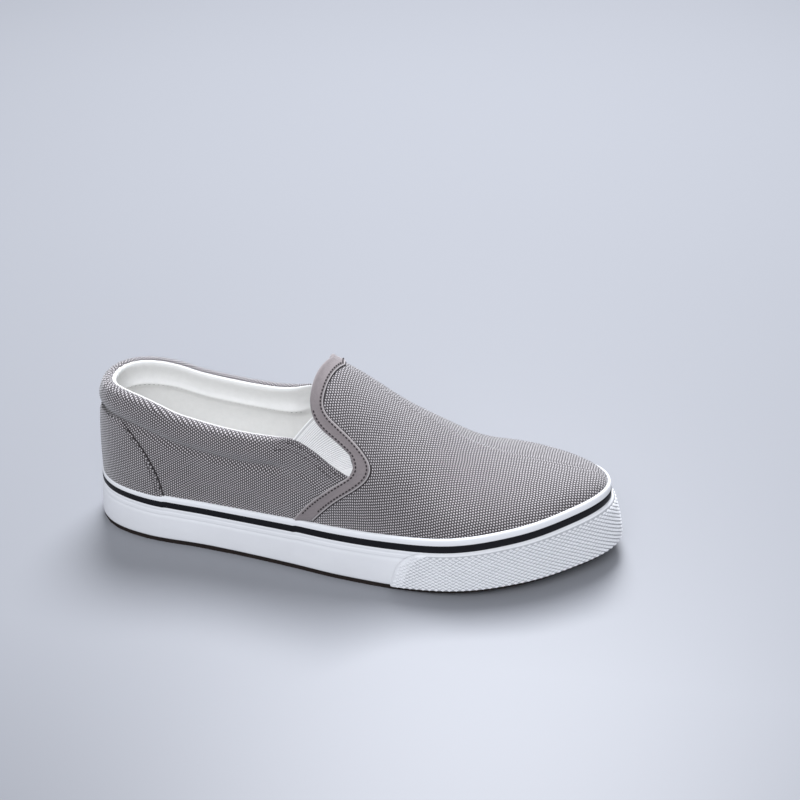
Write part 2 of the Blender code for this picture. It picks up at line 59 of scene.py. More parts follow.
# Last, heel to toe: along, outer, inner, crown, lean, fullness
lastColumn = {"along": 0, "outer": 1, "inner": 2, "crown": 3, "lean": 4, "fullness": 5}
lastRows = np.array([
    (0.000, 0.000, 0.000, 1.270, 0.000, 2.62),
    (0.040, 0.226, 0.226, 1.270, 0.000, 2.38),
    (0.120, 0.316, 0.325, 1.250, 0.000, 2.05),
    (0.250, 0.358, 0.349, 1.190, 0.005, 2.00),
    (0.420, 0.443, 0.321, 1.058, 0.019, 2.00),
    (0.500, 0.491, 0.344, 0.942, 0.033, 1.95),
    (0.600, 0.528, 0.406, 0.745, 0.047, 1.83),
    (0.720, 0.533, 0.467, 0.573, 0.057, 1.75),
    (0.840, 0.429, 0.424, 0.492, 0.047, 1.95),
    (0.940, 0.245, 0.270, 0.469, 0.028, 2.25),
    (0.985, 0.118, 0.140, 0.445, 0.019, 2.40),
    (1.000, 0.000, 0.000, 0.395, 0.009, 2.40),
])
springRows = np.array([(0.00, 0.0), (0.30, 0.0), (0.60, 0.0), (0.72, 0.35), (0.86, 0.66), (1.00, 1.0)])
# Sidewall: along, top, strips
foxingRows = np.array([(0.00, 1.00, 1.00), (0.25, 0.94, 1.08), (0.50, 1.02, 1.16), (0.75, 1.13, 1.25), (1.00, 1.44, 1.33)])
# Collar's edge: along, share of the heel height
rimRows = np.array([
    (0.000, 0.966), (0.050, 0.965), (0.085, 0.951), (0.140, 0.912), (0.180, 0.872), (0.220, 0.846), (0.260, 0.827),
    (0.300, 0.818), (0.340, 0.817), (0.380, 0.825), (0.415, 0.833), (0.450, 0.790), (0.490, 0.714), (0.530, 0.650),
])
# Padding: depth in collar depths, puff, fill
collarRows = np.array([
    (0.00, 0.2, 1.00), (0.25, 0.8, 1.00), (0.50, 1.0, 0.95), (0.80, 0.5, 0.75), (0.95, -0.2, 0.55), (1.05, -0.3, 0.45),
    (1.25, 0.0, 0.30), (1.60, 0.0, 0.10), (2.00, 0.0, 0.00),
])
padRows = np.array([(0.00, 1.0), (0.34, 1.0), (0.37, 0.85), (0.40, 0.25), (0.42, 0.0), (0.60, 0.0)])
# Binding: rear along, rear rise, front along, front rise
bindingCorner = 4
bindingRows = np.array([
    (0.421, 0.118, 0.455, 0.142),
    (0.450, 0.203, 0.490, 0.241),
    (0.488, 0.300, 0.527, 0.340),
    (0.513, 0.365, 0.547, 0.405),
    (0.527, 0.411, 0.557, 0.455),
    (0.532, 0.458, 0.559, 0.498),
    (0.523, 0.506, 0.551, 0.533),
    (0.497, 0.527, 0.528, 0.566),
    (0.467, 0.548, 0.499, 0.591),
    (0.450, 0.585, 0.474, 0.616),
    (0.442, 0.648, 0.462, 0.665),
    (0.442, 0.743, 0.463, 0.768),
    (0.448, 0.862, 0.471, 0.892),
    (0.460, 1.000, 0.483, 1.000),
])
bindingEnd = len(bindingRows) - 1
innerForward = np.array([0.0] * 9 + [0.003, 0.010, 0.014, 0.010, 0.0])


# Smooth curve through the points (xs, ys), read at x
def smoothCurve(xs, ys, x):
    x = np.clip(np.asarray(x, float), xs[0], xs[-1])
    step = np.diff(xs)
    slope = np.diff(ys) / step
    bend = np.empty(len(xs))
    bend[1:-1] = (slope[:-1] * step[1:] + slope[1:] * step[:-1]) / (step[:-1] + step[1:])
    bend[0] = 2 * slope[0] - bend[1]
    bend[-1] = 2 * slope[-1] - bend[-2]
    i = np.clip(np.searchsorted(xs, x) - 1, 0, len(xs) - 2)
    s = (x - xs[i]) / step[i]
    return ((1 + 2 * s) * (1 - s) ** 2 * ys[i] + s * (1 - s) ** 2 * step[i] * bend[i]
            + s * s * (3 - 2 * s) * ys[i + 1] + s * s * (s - 1) * step[i] * bend[i + 1])


def readRows(rows, column, x):
    return smoothCurve(rows[:, 0], rows[:, column], x)


# Round parameter: 0 at the heel, 1 at the toe, close together where the outline turns
def roundFromAlong(along):
    return np.arccos(1 - 2 * np.clip(along, 0, 1)) / math.pi


def alongFromRound(t):
    return (1 - np.cos(math.pi * np.asarray(t, float))) / 2


lastKnots = roundFromAlong(lastRows[:, 0])


def section(name, t):
    return smoothCurve(lastKnots, lastRows[:, lastColumn[name]], t)


def soleRise(along):
    return shoe["toeSpring"] * np.maximum(readRows(springRows, 1, along), 0)


def floorHeight(along):
    return shoe["outsoleThickness"] + gap + shoe["floorThickness"] + soleRise(along)


def foxingTop(along):
    return shoe["foxingHeight"] * readRows(foxingRows, 1, along)


def soleEdge(t, side):
    turned = (t < 0) | (t > 1)
    t = np.where(t > 1, 2 - t, np.abs(t))
    own, other = ("outer", "inner") if side == outer else ("inner", "outer")
    half = np.where(turned, section(other, t), section(own, t)) * shoe["ballWidth"]
    return np.stack([shoe["soleLength"] * (alongFromRound(t) - 0.5), np.where(turned, -side, side) * half], -1)


# The sole's outline seen from above, moved in by a set amount
def outlineAt(t, side, inset):
    t = np.asarray(t, float)
    probe = 1e-4
    run = soleEdge(t + probe, side) - soleEdge(t - probe, side)
    outward = np.stack([run[..., 1], -run[..., 0]], -1) * -side
    outward /= np.linalg.norm(outward, axis=-1, keepdims=True)
    return soleEdge(t, side) - outward * np.asarray(inset, float)[..., None]


def softMaximum(a, b, blend):
    return (a + b + np.sqrt((a - b) ** 2 + blend ** 2)) / 2


lastInset = shoe["foxingThickness"] + gap


def riseAtHeight(t, height):
    foot = floorHeight(alongFromRound(t)) + gap
    share = (height - foot) / (section("crown", t) * shoe["instepHeight"] - foot)
    return np.arcsin(np.clip(share, 0, 1) ** (section("fullness", t) / 2)) * 2 / math.pi


def lastSurface(t, side, rise):
    t, rise = np.broadcast_arrays(np.asarray(t, float), np.asarray(rise, float))
    foot = outlineAt(t, side, lastInset + 0 * t)
    rearAxis = shoe["soleLength"] * (shoe["heelAxis"] - 0.5)
    tip = shoe["soleLength"] / 2 - lastInset
    excess = softMaximum(tip, rearAxis, shoe["heelAxisBlend"]) - tip
    along = alongFromRound(t)
    centreX = softMaximum(foot[..., 0], rearAxis, shoe["heelAxisBlend"]) - excess * along
    centreY = section("lean", t) * shoe["ballWidth"]
    low = floorHeight(along) + gap
    high = section("crown", t) * shoe["instepHeight"]
    fullness = section("fullness", t)
    height = low + (high - low) * np.sin(rise * math.pi / 2) ** (2 / fullness)
    upright = foxingTop(along) - shoe["leanStart"]
    climb = np.clip((height - upright) / (high - upright), 0, 1)
    inward = 1 - (1 - climb ** fullness) ** (1 / fullness)
    return np.stack([foot[..., 0] + (centreX - foot[..., 0]) * inward,
                     foot[..., 1] + (centreY - foot[..., 1]) * inward, height], -1)


def lastNormal(t, side, rise):
    t, rise = np.broadcast_arrays(np.asarray(t, float), np.asarray(rise, float))
    probeT, probeR = 1e-3, 1e-2
    ahead = lastSurface(np.minimum(t + probeT, 1), side, rise)
    behind = lastSurface(np.maximum(t - probeT, 0), side, rise)
    above = lastSurface(t, side, np.minimum(rise + probeR, 1))
    below = lastSurface(t, side, np.maximum(rise - probeR, 0))
    normal = np.cross(ahead - behind, above - below) * -side
    return normal / np.linalg.norm(normal, axis=-1, keepdims=True)


def lastPoint(t, side, rise, lift):
    return lastSurface(t, side, rise) + lastNormal(t, side, rise) * np.asarray(lift, float)[..., None]


def rimHeight(along):
    return shoe["heelHeight"] * readRows(rimRows, 1, along)


def padding(along):
    return np.clip(readRows(padRows, 1, along), 0, 1)


# The model was centred over the floor: the same shift brings every piece here into its place
def centringShift():
    t = np.linspace(0, 1, 35)
    flare = soleFlare(alongFromRound(t))
    side = outlineAt(t, outer, -flare)[:, 1].min()
    low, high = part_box("midsole")
    return Vector((low.x + shoe["soleLength"] / 2, low.y - side, 0))


# Sidewall of the sole
sidewall = {
    "flare": 0.0033, "flareStart": 0.55, "flareLength": 0.25, "hollow": 1.6, "stripeInset": 0.0017,
    "stripeWidth": 0.0036, "bandWidth": 0.0029, "bandInset": 0.0027, "step": 0.0004, "stepDrop": 0.0024,
    "ridge": 0.00016, "ridgeDrops": (0.0031, 0.0046), "stations": 230,
    "joins": ((0.154, 0.00045), (0.418, 0.00045)), "joinFade": 0.055, "joinLap": 0.010, "joinLift": 0.00018,
    "innerDropStart": 0.52, "innerDrop": 0.0024,
}


def soleFlare(along):
    s = np.clip((along - sidewall["flareStart"]) / sidewall["flareLength"], 0, 1)
    return sidewall["flare"] * s * s * (3 - 2 * s)


def wallInset(along, climb):
    flare = soleFlare(along)
    return -flare + (sidewall["stripeInset"] - sidewall["step"] + flare) * climb ** sidewall["hollow"]


# Where one end of the wrapped strips laps the other, the strips sit a little higher and then settle
def joinRise(along, side):
    rise = 0 * along
    for at, height in sidewall["joins"]:
        ahead = along - at
        rise = rise + (side == outer) * height * np.clip(ahead / 0.006, 0, 1) * np.exp(-np.maximum(ahead, 0) / sidewall["joinFade"])
    share = np.clip((along - sidewall["innerDropStart"]) / (1 - sidewall["innerDropStart"]), 0, 1)
    return rise - (side == inner) * sidewall["innerDrop"] * np.sin(math.pi * share)


def joinLap(along, side):
    lap = 0 * along
    for at, height in sidewall["joins"]:
        ahead = (along - at) / sidewall["joinLap"]
        lap = lap + (side == outer) * sidewall["joinLift"] * ((ahead > 0) & (ahead < 1)) * (1 - ahead)
    return lap


def stripShare(along):
    return readRows(foxingRows, 2, along)


def stripeBottom(along, side):
    return foxingTop(along) - (sidewall["bandWidth"] + sidewall["stripeWidth"]) * stripShare(along) + joinRise(along, side)


def stripeTop(along, side):
    return foxingTop(along) - sidewall["bandWidth"] * stripShare(along) + joinRise(along, side)


def bandTop(along, side):
    return foxingTop(along) + joinRise(along, side) * 0.8


shift = centringShift()
print("shoe placed %.2f mm, %.2f mm" % (shift.x * 1000, shift.y * 1000))


# A mesh object in the shoe's own frame, moved to its place
def addMesh(name, points, faces, materials, faceMaterial=None, uv=None, smooth=True):
    mesh = bpy.data.meshes.new(name)
    mesh.from_pydata((np.asarray(points) + np.array(shift)).tolist(), [], faces)
    for material in materials:
        mesh.materials.append(material)
    if faceMaterial is not None:
        mesh.polygons.foreach_set("material_index", np.asarray(faceMaterial, np.int32))
    if uv is not None:
        layer = mesh.uv_layers.new(name="weave")
        layer.data.foreach_set("uv", np.asarray(uv, np.float32).ravel())
    mesh.update()
    if smooth:
        mesh.shade_smooth()
    piece = bpy.data.objects.new(name, mesh)
    bpy.context.scene.collection.objects.link(piece)
    return piece


def signedSize(points, faces):
    corners = np.array([(f[0], f[k], f[k + 1]) for f in faces for k in range(1, len(f) - 1)])
    a, b, c = points[corners[:, 0]], points[corners[:, 1]], points[corners[:, 2]]
    return float(np.einsum("ij,ij->i", a, np.cross(b, c)).sum())


def placed(piece, slot, *nodes):
    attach(piece, "root")
    if nodes:
        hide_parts(*nodes)
    return piece


# A wrapped socket, so that shader maths reads as an expression
class Value:
    def __init__(self, finish, socket):
        self.finish, self.socket = finish, socket

    def maths(self, operation, *others):
        return self.finish.add("ShaderNodeMath", {"operation": operation}, [self, *others])

    def __add__(self, other): return self.maths("ADD", other)
    def __radd__(self, other): return self.maths("ADD", other)
    def __mul__(self, other): return self.maths("MULTIPLY", other)
    def __rmul__(self, other): return self.maths("MULTIPLY", other)
    def __sub__(self, other): return self.maths("SUBTRACT", other)
    def __rsub__(self, other): return (self * -1.0).maths("ADD", other)
    def __truediv__(self, other): return self.maths("DIVIDE", other)
    def __pow__(self, other): return self.maths("POWER", other)
    def clamped(self): return self.maths("MINIMUM", 1.0).maths("MAXIMUM", 0.0)


class Finish:
    def __init__(self, name, constants):
        self.material = bpy.data.materials.new(name)
        self.material.use_nodes = True
        self.tree = self.material.node_tree
        self.shader = self.tree.nodes["Principled BSDF"]
        for label, value in constants.items():
            self.shader.inputs[label].default_value = value

    def add(self, kind, settings=None, inputs=(), output=0):
        node = self.tree.nodes.new(kind)
        for label, value in (settings or {}).items():
            setattr(node, label, value)
        pairs = inputs.items() if isinstance(inputs, dict) else enumerate(inputs)
        for label, value in pairs:
            self.join(value, node.inputs[label])
        return Value(self, node.outputs[output])

    def join(self, value, socket):
        if isinstance(value, Value):
            self.tree.links.new(value.socket, socket)
        else:
            socket.default_value = value

    def feed(self, label, value):
        self.join(value, self.shader.inputs[label])

    def uv(self):
        return self.add("ShaderNodeUVMap", {"uv_map": "weave"})

    def objectPlace(self):
        return self.add("ShaderNodeTexCoord", output="Object")

    def split(self, vector):
        node = self.tree.nodes.new("ShaderNodeSeparateXYZ")
        self.join(vector, node.inputs[0])
        return [Value(self, node.outputs[k]) for k in range(3)]

    def noise(self, vector, scale, detail=2.0, roughness=0.5):
        return self.add("ShaderNodeTexNoise", {"noise_dimensions": "3D"},
                        {"Vector": vector, "Scale": scale, "Detail": detail, "Roughness": roughness})

    def mixColour(self, share, a, b, blend="MIX"):
        node = self.tree.nodes.new("ShaderNodeMix")
        node.data_type = "RGBA"
        node.blend_type = blend
        self.join(share, node.inputs[0])
        self.join(a, node.inputs[6])
        self.join(b, node.inputs[7])
        return Value(self, node.outputs[2])

    def bump(self, height, strength, distance, normal=None):
        inputs = {"Height": height, "Strength": strength, "Distance": distance}
        if normal is not None:
            inputs["Normal"] = normal
        return self.add("ShaderNodeBump", {}, inputs)


def colour(red, green, blue):
    return (red, green, blue, 1.0)


# Plain weave: one thread passes over and under its neighbours, drawn from the cloth's own UV in metres
def weave(finish, pitchU, pitchV, wander):
    u, v, _ = finish.split(finish.uv())
    across = u / pitchU + (finish.noise(finish.uv(), 120.0, 1.0) - 0.5) * wander
    up = v / pitchV + (finish.noise(finish.uv(), 150.0, 1.0) - 0.5) * wander
    parity = (across.maths("FLOOR") + up.maths("FLOOR")).maths("FLOORED_MODULO", 2.0)
    warp = ((across.maths("FRACT") - 0.5) * math.pi).maths("COSINE")
    weft = ((up.maths("FRACT") - 0.5) * math.pi).maths("COSINE")
    over = parity * warp * (0.55 + 0.45 * weft)
    under = (1.0 - parity) * weft * (0.55 + 0.45 * warp)
    return over + under, parity, across, up


# Canvas: gap is near black, a painted shade for the valleys between the threads
canvasLook = {
    "pitchU": 0.00118, "pitchV": 0.00078, "wander": 0.7, "gap": colour(0.003, 0.002, 0.002),
    "warp": colour(0.040, 0.034, 0.035), "weft": colour(0.720, 0.670, 0.677), "steepness": 1.65, "valley": 0.38, "roughness": 0.92, "sheen": 0.6, "bump": 0.00026,
}


def canvasFinish():
    look = canvasLook
    finish = Finish("canvas", {"Roughness": look["roughness"], "Sheen Weight": look["sheen"], "Sheen Roughness": 0.45,
                               "Specular IOR Level": 0.25})
    height, parity, across, up = weave(finish, look["pitchU"], look["pitchV"], look["wander"])
    thread = finish.mixColour(parity, look["warp"], look["weft"])
    tone = finish.noise(finish.uv(), 55.0, 3.0, 0.6)
    slub = finish.noise(finish.uv(), 900.0, 2.0, 0.6)
    thread = finish.mixColour(0.22, thread, finish.mixColour((tone * 0.5 + slub * 0.5), look["warp"], look["weft"]))
    # Painted shade: the colour darkens with the weave's height into the near-black gap colour in the valleys between
    # threads
    shade = finish.mixColour((height * look["steepness"] - look["valley"]).clamped(), look["gap"], thread)
    finish.feed("Base Color", shade)
    fuzz = finish.noise(finish.uv(), 2600.0, 2.0)
    finish.feed("Normal", finish.bump(height + fuzz * 0.35, 0.85, look["bump"]))
    return finish.material


liningLook = {"pitch": 0.00055, "light": colour(0.860, 0.854, 0.832), "dark": colour(0.700, 0.694, 0.670)}


def liningFinish():
    look = liningLook
    finish = Finish("lining", {"Roughness": 0.9, "Sheen Weight": 0.25, "Sheen Roughness": 0.5, "Specular IOR Level": 0.2})
    height, parity, across, up = weave(finish, look["pitch"], look["pitch"], 0.8)
    mottle = finish.noise(finish.uv(), 260.0, 4.0, 0.65)
    # The colour turns dark in the weave's low spots, a painted shade, and varies with the mottle, a random tone
    finish.feed("Base Color", finish.mixColour((height * 0.55 + mottle * 0.6).clamped(), look["dark"], look["light"]))
    soft = finish.noise(finish.uv(), 90.0, 2.0)
    finish.feed("Normal", finish.bump(height + soft * 2.0, 0.5, 0.00007))
    return finish.material


def tapeFinish():
    finish = Finish("binding", {"Roughness": 0.82, "Sheen Weight": 0.5, "Sheen Roughness": 0.4, "Specular IOR Level": 0.3})
    height, parity, across, up = weave(finish, 0.00030, 0.00030, 0.3)
    mottle = finish.noise(finish.uv(), 420.0, 3.0, 0.6)
    # The colour turns dark in the weave's low spots, a painted shade, and varies with the mottle, a random tone
    base = finish.mixColour((height * 0.6 + mottle * 0.5).clamped(), colour(0.160, 0.136, 0.136), colour(0.300, 0.266, 0.266))
    finish.feed("Base Color", base)
    finish.feed("Normal", finish.bump(height * 0.5 + mottle, 0.45, 0.00012))
    return finish.material


def threadFinish(name, tone, roughness=0.75):
    finish = Finish(name, {"Roughness": roughness, "Specular IOR Level": 0.3})
    grain = finish.noise(finish.objectPlace(), 3500.0, 2.0)
    finish.feed("Base Color", finish.mixColour(grain, colour(*[c * 0.75 for c in tone]), colour(*[min(c * 1.2, 1) for c in tone])))
    return finish.material


def elasticFinish(name, dark, light):
    finish = Finish(name, {"Roughness": 0.8, "Sheen Weight": 0.2, "Specular IOR Level": 0.25})
    grain = finish.noise(finish.objectPlace(), 1800.0, 3.0, 0.6)
    finish.feed("Base Color", finish.mixColour(grain, colour(dark, dark * 0.985, dark * 0.960), colour(light, light * 0.985, light * 0.960)))
    finish.feed("Normal", finish.bump(grain, 0.3, 0.0001))
    return finish.material


# white and dull vary at random; toe and toeDull are the same rubber darkened, a painted shade for the hollows between
# the toe strip's diamonds
rubberLook = {"white": colour(0.860, 0.864, 0.874), "dull": colour(0.780, 0.785, 0.795),
              "toe": colour(0.500, 0.505, 0.520), "toeDull": colour(0.430, 0.435, 0.450)}


def whiteRubberFinish(name, light, dull):
    finish = Finish(name, {"Specular IOR Level": 0.35})
    place = finish.objectPlace()
    cloud = finish.noise(place, 34.0, 4.0, 0.55)
    speck = finish.noise(place, 900.0, 2.0, 0.6)
    marks = (finish.noise(place, 210.0, 5.0, 0.75) - 0.64).clamped() * 3.0
    base = finish.mixColour((cloud * 1.3 - 0.2).clamped(), light, dull)
    finish.feed("Base Color", finish.mixColour((marks * 0.5).clamped(), base, colour(0.52, 0.50, 0.48)))
    finish.feed("Roughness", 0.36 + 0.16 * cloud)
    finish.feed("Normal", finish.bump(speck * 0.25 + cloud, 0.18, 0.0005))
    return finish.material


def blackRubberFinish():
    finish = Finish("black rubber", {"Specular IOR Level": 0.12})
    place = finish.objectPlace()
    cloud = finish.noise(place, 60.0, 3.0, 0.6)
    finish.feed("Base Color", finish.mixColour(cloud, colour(0.006, 0.006, 0.008), colour(0.013, 0.013, 0.016)))
    finish.feed("Roughness", 0.34 + 0.2 * cloud)
    finish.feed("Normal", finish.bump(finish.noise(place, 700.0, 2.0), 0.15, 0.0003))
    return finish.material


def outsoleFinish():
    finish = Finish("outsole rubber", {"Specular IOR Level": 0.15})
    place = finish.objectPlace()
    x, y, z = finish.split(place)
    down = finish.split(finish.add("ShaderNodeTexCoord", output="Normal"))[2]
    under = (down * -4.0 - 2.5).clamped()
    zigzag = (y / 0.0052 + 0.5).maths("FRACT") - 0.5
    wave = (x / 0.0030 + zigzag.maths("ABSOLUTE") * 2.0).maths("FRACT") - 0.5
    ribs = (wave.maths("ABSOLUTE") * 4.0 - 0.5).clamped() * under
    grain = finish.noise(place, 260.0, 4.0, 0.6)
    finish.feed("Base Color", finish.mixColour((ribs * 0.6 + grain * 0.4).clamped(), colour(0.012, 0.009, 0.008), colour(0.062, 0.044, 0.037)))
    finish.feed("Roughness", 0.55 + 0.2 * grain)
    finish.feed("Normal", finish.bump(ribs + grain * 0.3, 0.7, 0.0006))
    return finish.material


# Floor colours: dull and light vary at random; near is a painted shade that darkens the floor towards the camera in
# place of the light's falloff
floorLook = {"dull": colour(0.262, 0.268, 0.286), "light": colour(0.274, 0.280, 0.298), "near": colour(0.205, 0.210, 0.226),
             "shadeFrom": 0.11, "shadeReach": 0.17}


def floorFinish():
    look = floorLook
    finish = Finish("studio floor", {"Roughness": 0.38, "Specular IOR Level": 0.3})
    place = finish.objectPlace()
    far = finish.mixColour(finish.noise(place, 1.3, 2.0), look["dull"], look["light"])
    across = finish.add("ShaderNodeSeparateXYZ", None, [place], 1)
    # Painted shade: the floor fades into the darker near colour towards the camera (negative y)
    near = ((across * -1.0 - look["shadeFrom"]) / look["shadeReach"]).clamped()
    finish.feed("Base Color", finish.mixColour(near, far, look["near"]))
    return finish.material


canvas = canvasFinish()
lining = liningFinish()
tape = tapeFinish()
elastic = elasticFinish("elastic", 0.80, 0.90)
# A darker copy of the same elastic: painted shade for the sheet sunk between the ribs
elasticShadedCopy = elasticFinish("elastic painted shade", 0.50, 0.58)
whiteRubber = whiteRubberFinish("white rubber", rubberLook["white"], rubberLook["dull"])
toeShadedRubber = whiteRubberFinish("toe rubber painted shade", rubberLook["toe"], rubberLook["toeDull"])
blackRubber = blackRubberFinish()
outsoleRubber = outsoleFinish()
darkThread = threadFinish("dark thread", (0.030, 0.024, 0.026))
greyThread = threadFinish("grey thread", (0.150, 0.135, 0.138))
paleThread = threadFinish("pale thread", (0.42, 0.39, 0.385))
print("finishes made")


# A strip swept round the whole sole: each profile point is an inset and a height for (along, side)
def addSoleRing(name, profile, material, closedInside):
    count = sidewall["stations"]
    steps = np.linspace(0, 1, count + 1)
    ring = [(steps, outer), (steps[-2:0:-1], inner)]
    rows = []
    for t, side in ring:
        along = alongFromRound(t)
        columns = []
        for inset, height in profile(along, side):
            xy = outlineAt(t, side, inset + 0 * t)
            columns.append(np.concatenate([xy, (height + 0 * t)[:, None]], 1))
        rows.append(np.stack(columns, 1))
    grid = np.concatenate(rows)
    around, depth = grid.shape[:2]
    points = grid.reshape(-1, 3)
    faces = []
    for i in range(around):
        a, b = i * depth, (i + 1) % around * depth
        for j in range(depth if closedInside else depth - 1):
            n = (j + 1) % depth
            faces.append((a + j, b + j, b + n, a + n))
    if not closedInside:
        for j, isFloor in ((0, False), (depth - 1, True)):
            for i in range(count):
                face = [i * depth + j, (around - i) % around * depth + j, (around - i - 1) * depth + j, (i + 1) * depth + j]
                face = [k for n, k in enumerate(face) if k not in face[:n]]
                faces.append(tuple(reversed(face)) if isFloor else tuple(face))
    if signedSize(points, faces) < 0:
        faces = [tuple(reversed(f)) for f in faces]
    piece = addMesh(name, points, faces, [material])
    piece.data.set_sharp_from_angle(angle=math.radians(50))
    return piece


def midsoleProfile(along, side):
    low = shoe["outsoleThickness"] + gap + soleRise(along)
    top = stripeBottom(along, side) - 0.00005
    stepAt = top - sidewall["stepDrop"]
    lap = joinLap(along, side) * 0.4
    profile = [(0.0006 + wallInset(along, 0.0), low), (wallInset(along, 0.0) + 0.00015, low + 0.00018), (wallInset(along, 0.02), low + 0.0006)]
    for climb in np.linspace(0.08, 0.84, 10):
        profile.append((wallInset(along, climb) - lap, low + (stepAt - low) * climb))
    foot = wallInset(along, 1.0)
    for drop, lift in ((0.0022, 0.0), (0.0018, 0.6), (0.0014, 1.0), (0.0010, 0.3), (0.0006, 0.0), (0.0002, 0.0)):
        profile.append((foot - lap - sidewall["ridge"] * lift, stepAt - drop))
    profile.append((sidewall["stripeInset"] - 0.00012 - lap, stepAt + 0.00025))
    for drop, lift in ((0.0017, 0.0), (0.0013, 0.8), (0.0009, 1.0), (0.0005, 0.2)):
        profile.append((sidewall["stripeInset"] - lap - sidewall["ridge"] * lift, top - drop))
    profile += [(sidewall["stripeInset"] - lap, top - 0.00015), (sidewall["stripeInset"] + 0.0002, top),
                (shoe["foxingThickness"] + 0.0002, top), (shoe["foxingThickness"], floorHeight(along))]
    return profile


def stripeProfile(along, side):
    low, high = stripeBottom(along, side), stripeTop(along, side)
    face = sidewall["stripeInset"] - joinLap(along, side)
    profile = [(shoe["foxingThickness"] + 0.0002, low), (face + 0.0002, low)]
    for climb, belly in ((0.05, 0.0), (0.2, 0.00008), (0.5, 0.00012), (0.8, 0.00008), (0.95, 0.0)):
        profile.append((face - belly, low + (high - low) * climb))
    profile += [(face + 0.0002, high), (shoe["foxingThickness"] + 0.0002, high)]
    return profile


def bandProfile(along, side):
    low, high = stripeTop(along, side), bandTop(along, side)
    face, crest = sidewall["stripeInset"] - joinLap(along, side), sidewall["bandInset"] - joinLap(along, side)
    inside = shoe["foxingThickness"] + 0.0005
    profile = [(inside, low), (face + 0.0004, low + 0.00002), (face + 0.0001, low + 0.00015)]
    for climb, belly in ((0.15, 0.00006), (0.35, 0.00018), (0.55, 0.00026), (0.75, 0.00024), (0.88, 0.00012)):
        profile.append((face + (crest - face) * climb - belly, low + (high - low) * climb))
    profile += [(crest + 0.00008, high - 0.00018), (crest + 0.0003, high), (inside, high - 0.00005)]
    return profile


midsole = placed(addSoleRing("cupsole", midsoleProfile, whiteRubber, False), "white_rubber", "midsole")
stripe = placed(addSoleRing("sidewall_stripe", stripeProfile, blackRubber, True), "black_rubber", "foxing_stripe")
band = placed(addSoleRing("sidewall_band", bandProfile, whiteRubber, True), "white_rubber", "foxing_band")
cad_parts["outsole"].data.materials.clear()
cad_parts["outsole"].data.materials.append(outsoleRubber)
print("sole made")


# Raised strip round the toe
bumper = {"thickness": 0.0018, "start": 0.6105, "slant": 0.018, "sweep": 0.034, "taper": 0.40, "topGap": 0.0005, "stations": 170,
          "climbs": 18, "border": 0.010, "rows": 20, "lowest": 0.02, "highest": 0.94, "pitch": 0.0035, "height": 0.00060}


def bumperStart(climb):
    return roundFromAlong(bumper["start"] + bumper["slant"] * climb + bumper["sweep"] * climb ** 5)


def bumperPlace(share, side, climb, extra=0.0):
    start = bumperStart(climb)
    t = start + (1 - start) * share
    along = alongFromRound(t)
    low = shoe["outsoleThickness"] + gap + soleRise(along)
    high = stripeBottom(along, side) - bumper["topGap"]
    swell = bumper["thickness"] * (1 - bumper["taper"] * climb)
    swell = swell * np.clip(0.30 + 0.70 * share / 0.006, 0, 1)
    swell = swell * (1 - 0.9 * np.clip((climb - 0.94) / 0.06, 0, 1) ** 2)
    inset = wallInset(along, climb) - swell - extra
    xy = outlineAt(t, side, inset)
    return np.concatenate([xy, (low + (high - low) * climb + 0 * t)[..., None]], -1), swell + extra, inset, t


def addBumper():
    share = np.concatenate([np.linspace(0, 0.06, 14), np.linspace(0.06, 1, bumper["stations"])[1:]])
    climbs = np.concatenate([[0.0, 0.012], np.linspace(0.04, 0.93, bumper["climbs"]), [0.95, 0.97, 0.985, 1.0]])
    rows = []
    for s, side in ((share, outer), (share[-2::-1], inner)):
        loops = []
        for climb in climbs:
            tuck = 0.0004 if climb == 0 else 0.0
            point, swell, inset, t = bumperPlace(s, side, climb, -tuck)
            loops.append(point)
        for climb in climbs[::-1]:
            point, swell, inset, t = bumperPlace(s, side, climb)
            back = outlineAt(t, side, inset + swell + 0.0002)
            loops.append(np.concatenate([back, point[..., 2:]], -1))
        rows.append(np.stack(loops, 1))
    grid = np.concatenate(rows)
    count, depth = grid.shape[:2]
    faces = []
    for i in range(count - 1):
        for j in range(depth):
            n = (j + 1) % depth
            faces.append((i * depth + j, (i + 1) * depth + j, (i + 1) * depth + n, i * depth + n))
    faces.append(tuple(range(depth)))
    faces.append(tuple(reversed(range((count - 1) * depth, count * depth))))
    points = grid.reshape(-1, 3)
    if signedSize(points, faces) < 0:
        faces = [tuple(reversed(f)) for f in faces]
    plain = 8
    # Faces between the diamonds take the darker toe rubber, a painted shade; the plain border, ends and top rows keep
    # the white rubber
    kinds = [0 if i < plain or i >= count - 1 - plain or j >= len(climbs) - 3 else 1 for i in range(count - 1) for j in range(depth)] + [0, 0]
    piece = addMesh("toe_strip", points, faces, [whiteRubber, toeShadedRubber], kinds)
    piece.data.set_sharp_from_angle(angle=math.radians(50))
    return piece


toeStrip = placed(addBumper(), "white_rubber", "toe_bumper")


# Open lines on the shoe with their outward directions, ready for the repeating pieces
def addLines(name, lines):
    points, edges, outward = [], [], []
    for line, normals in lines:
        start = len(points)
        points += list(np.asarray(line) + np.array(shift))
        outward += list(normals)
        edges += [(start + k, start + k + 1) for k in range(len(line) - 1)]
    mesh = bpy.data.meshes.new(name)
    mesh.from_pydata([tuple(p) for p in points], edges, [])
    attribute = mesh.attributes.new("outward", "FLOAT_VECTOR", "POINT")
    attribute.data.foreach_set("vector", np.asarray(outward, np.float32).ravel())
    piece = bpy.data.objects.new(name, mesh)
    bpy.context.scene.collection.objects.link(piece)
    return piece


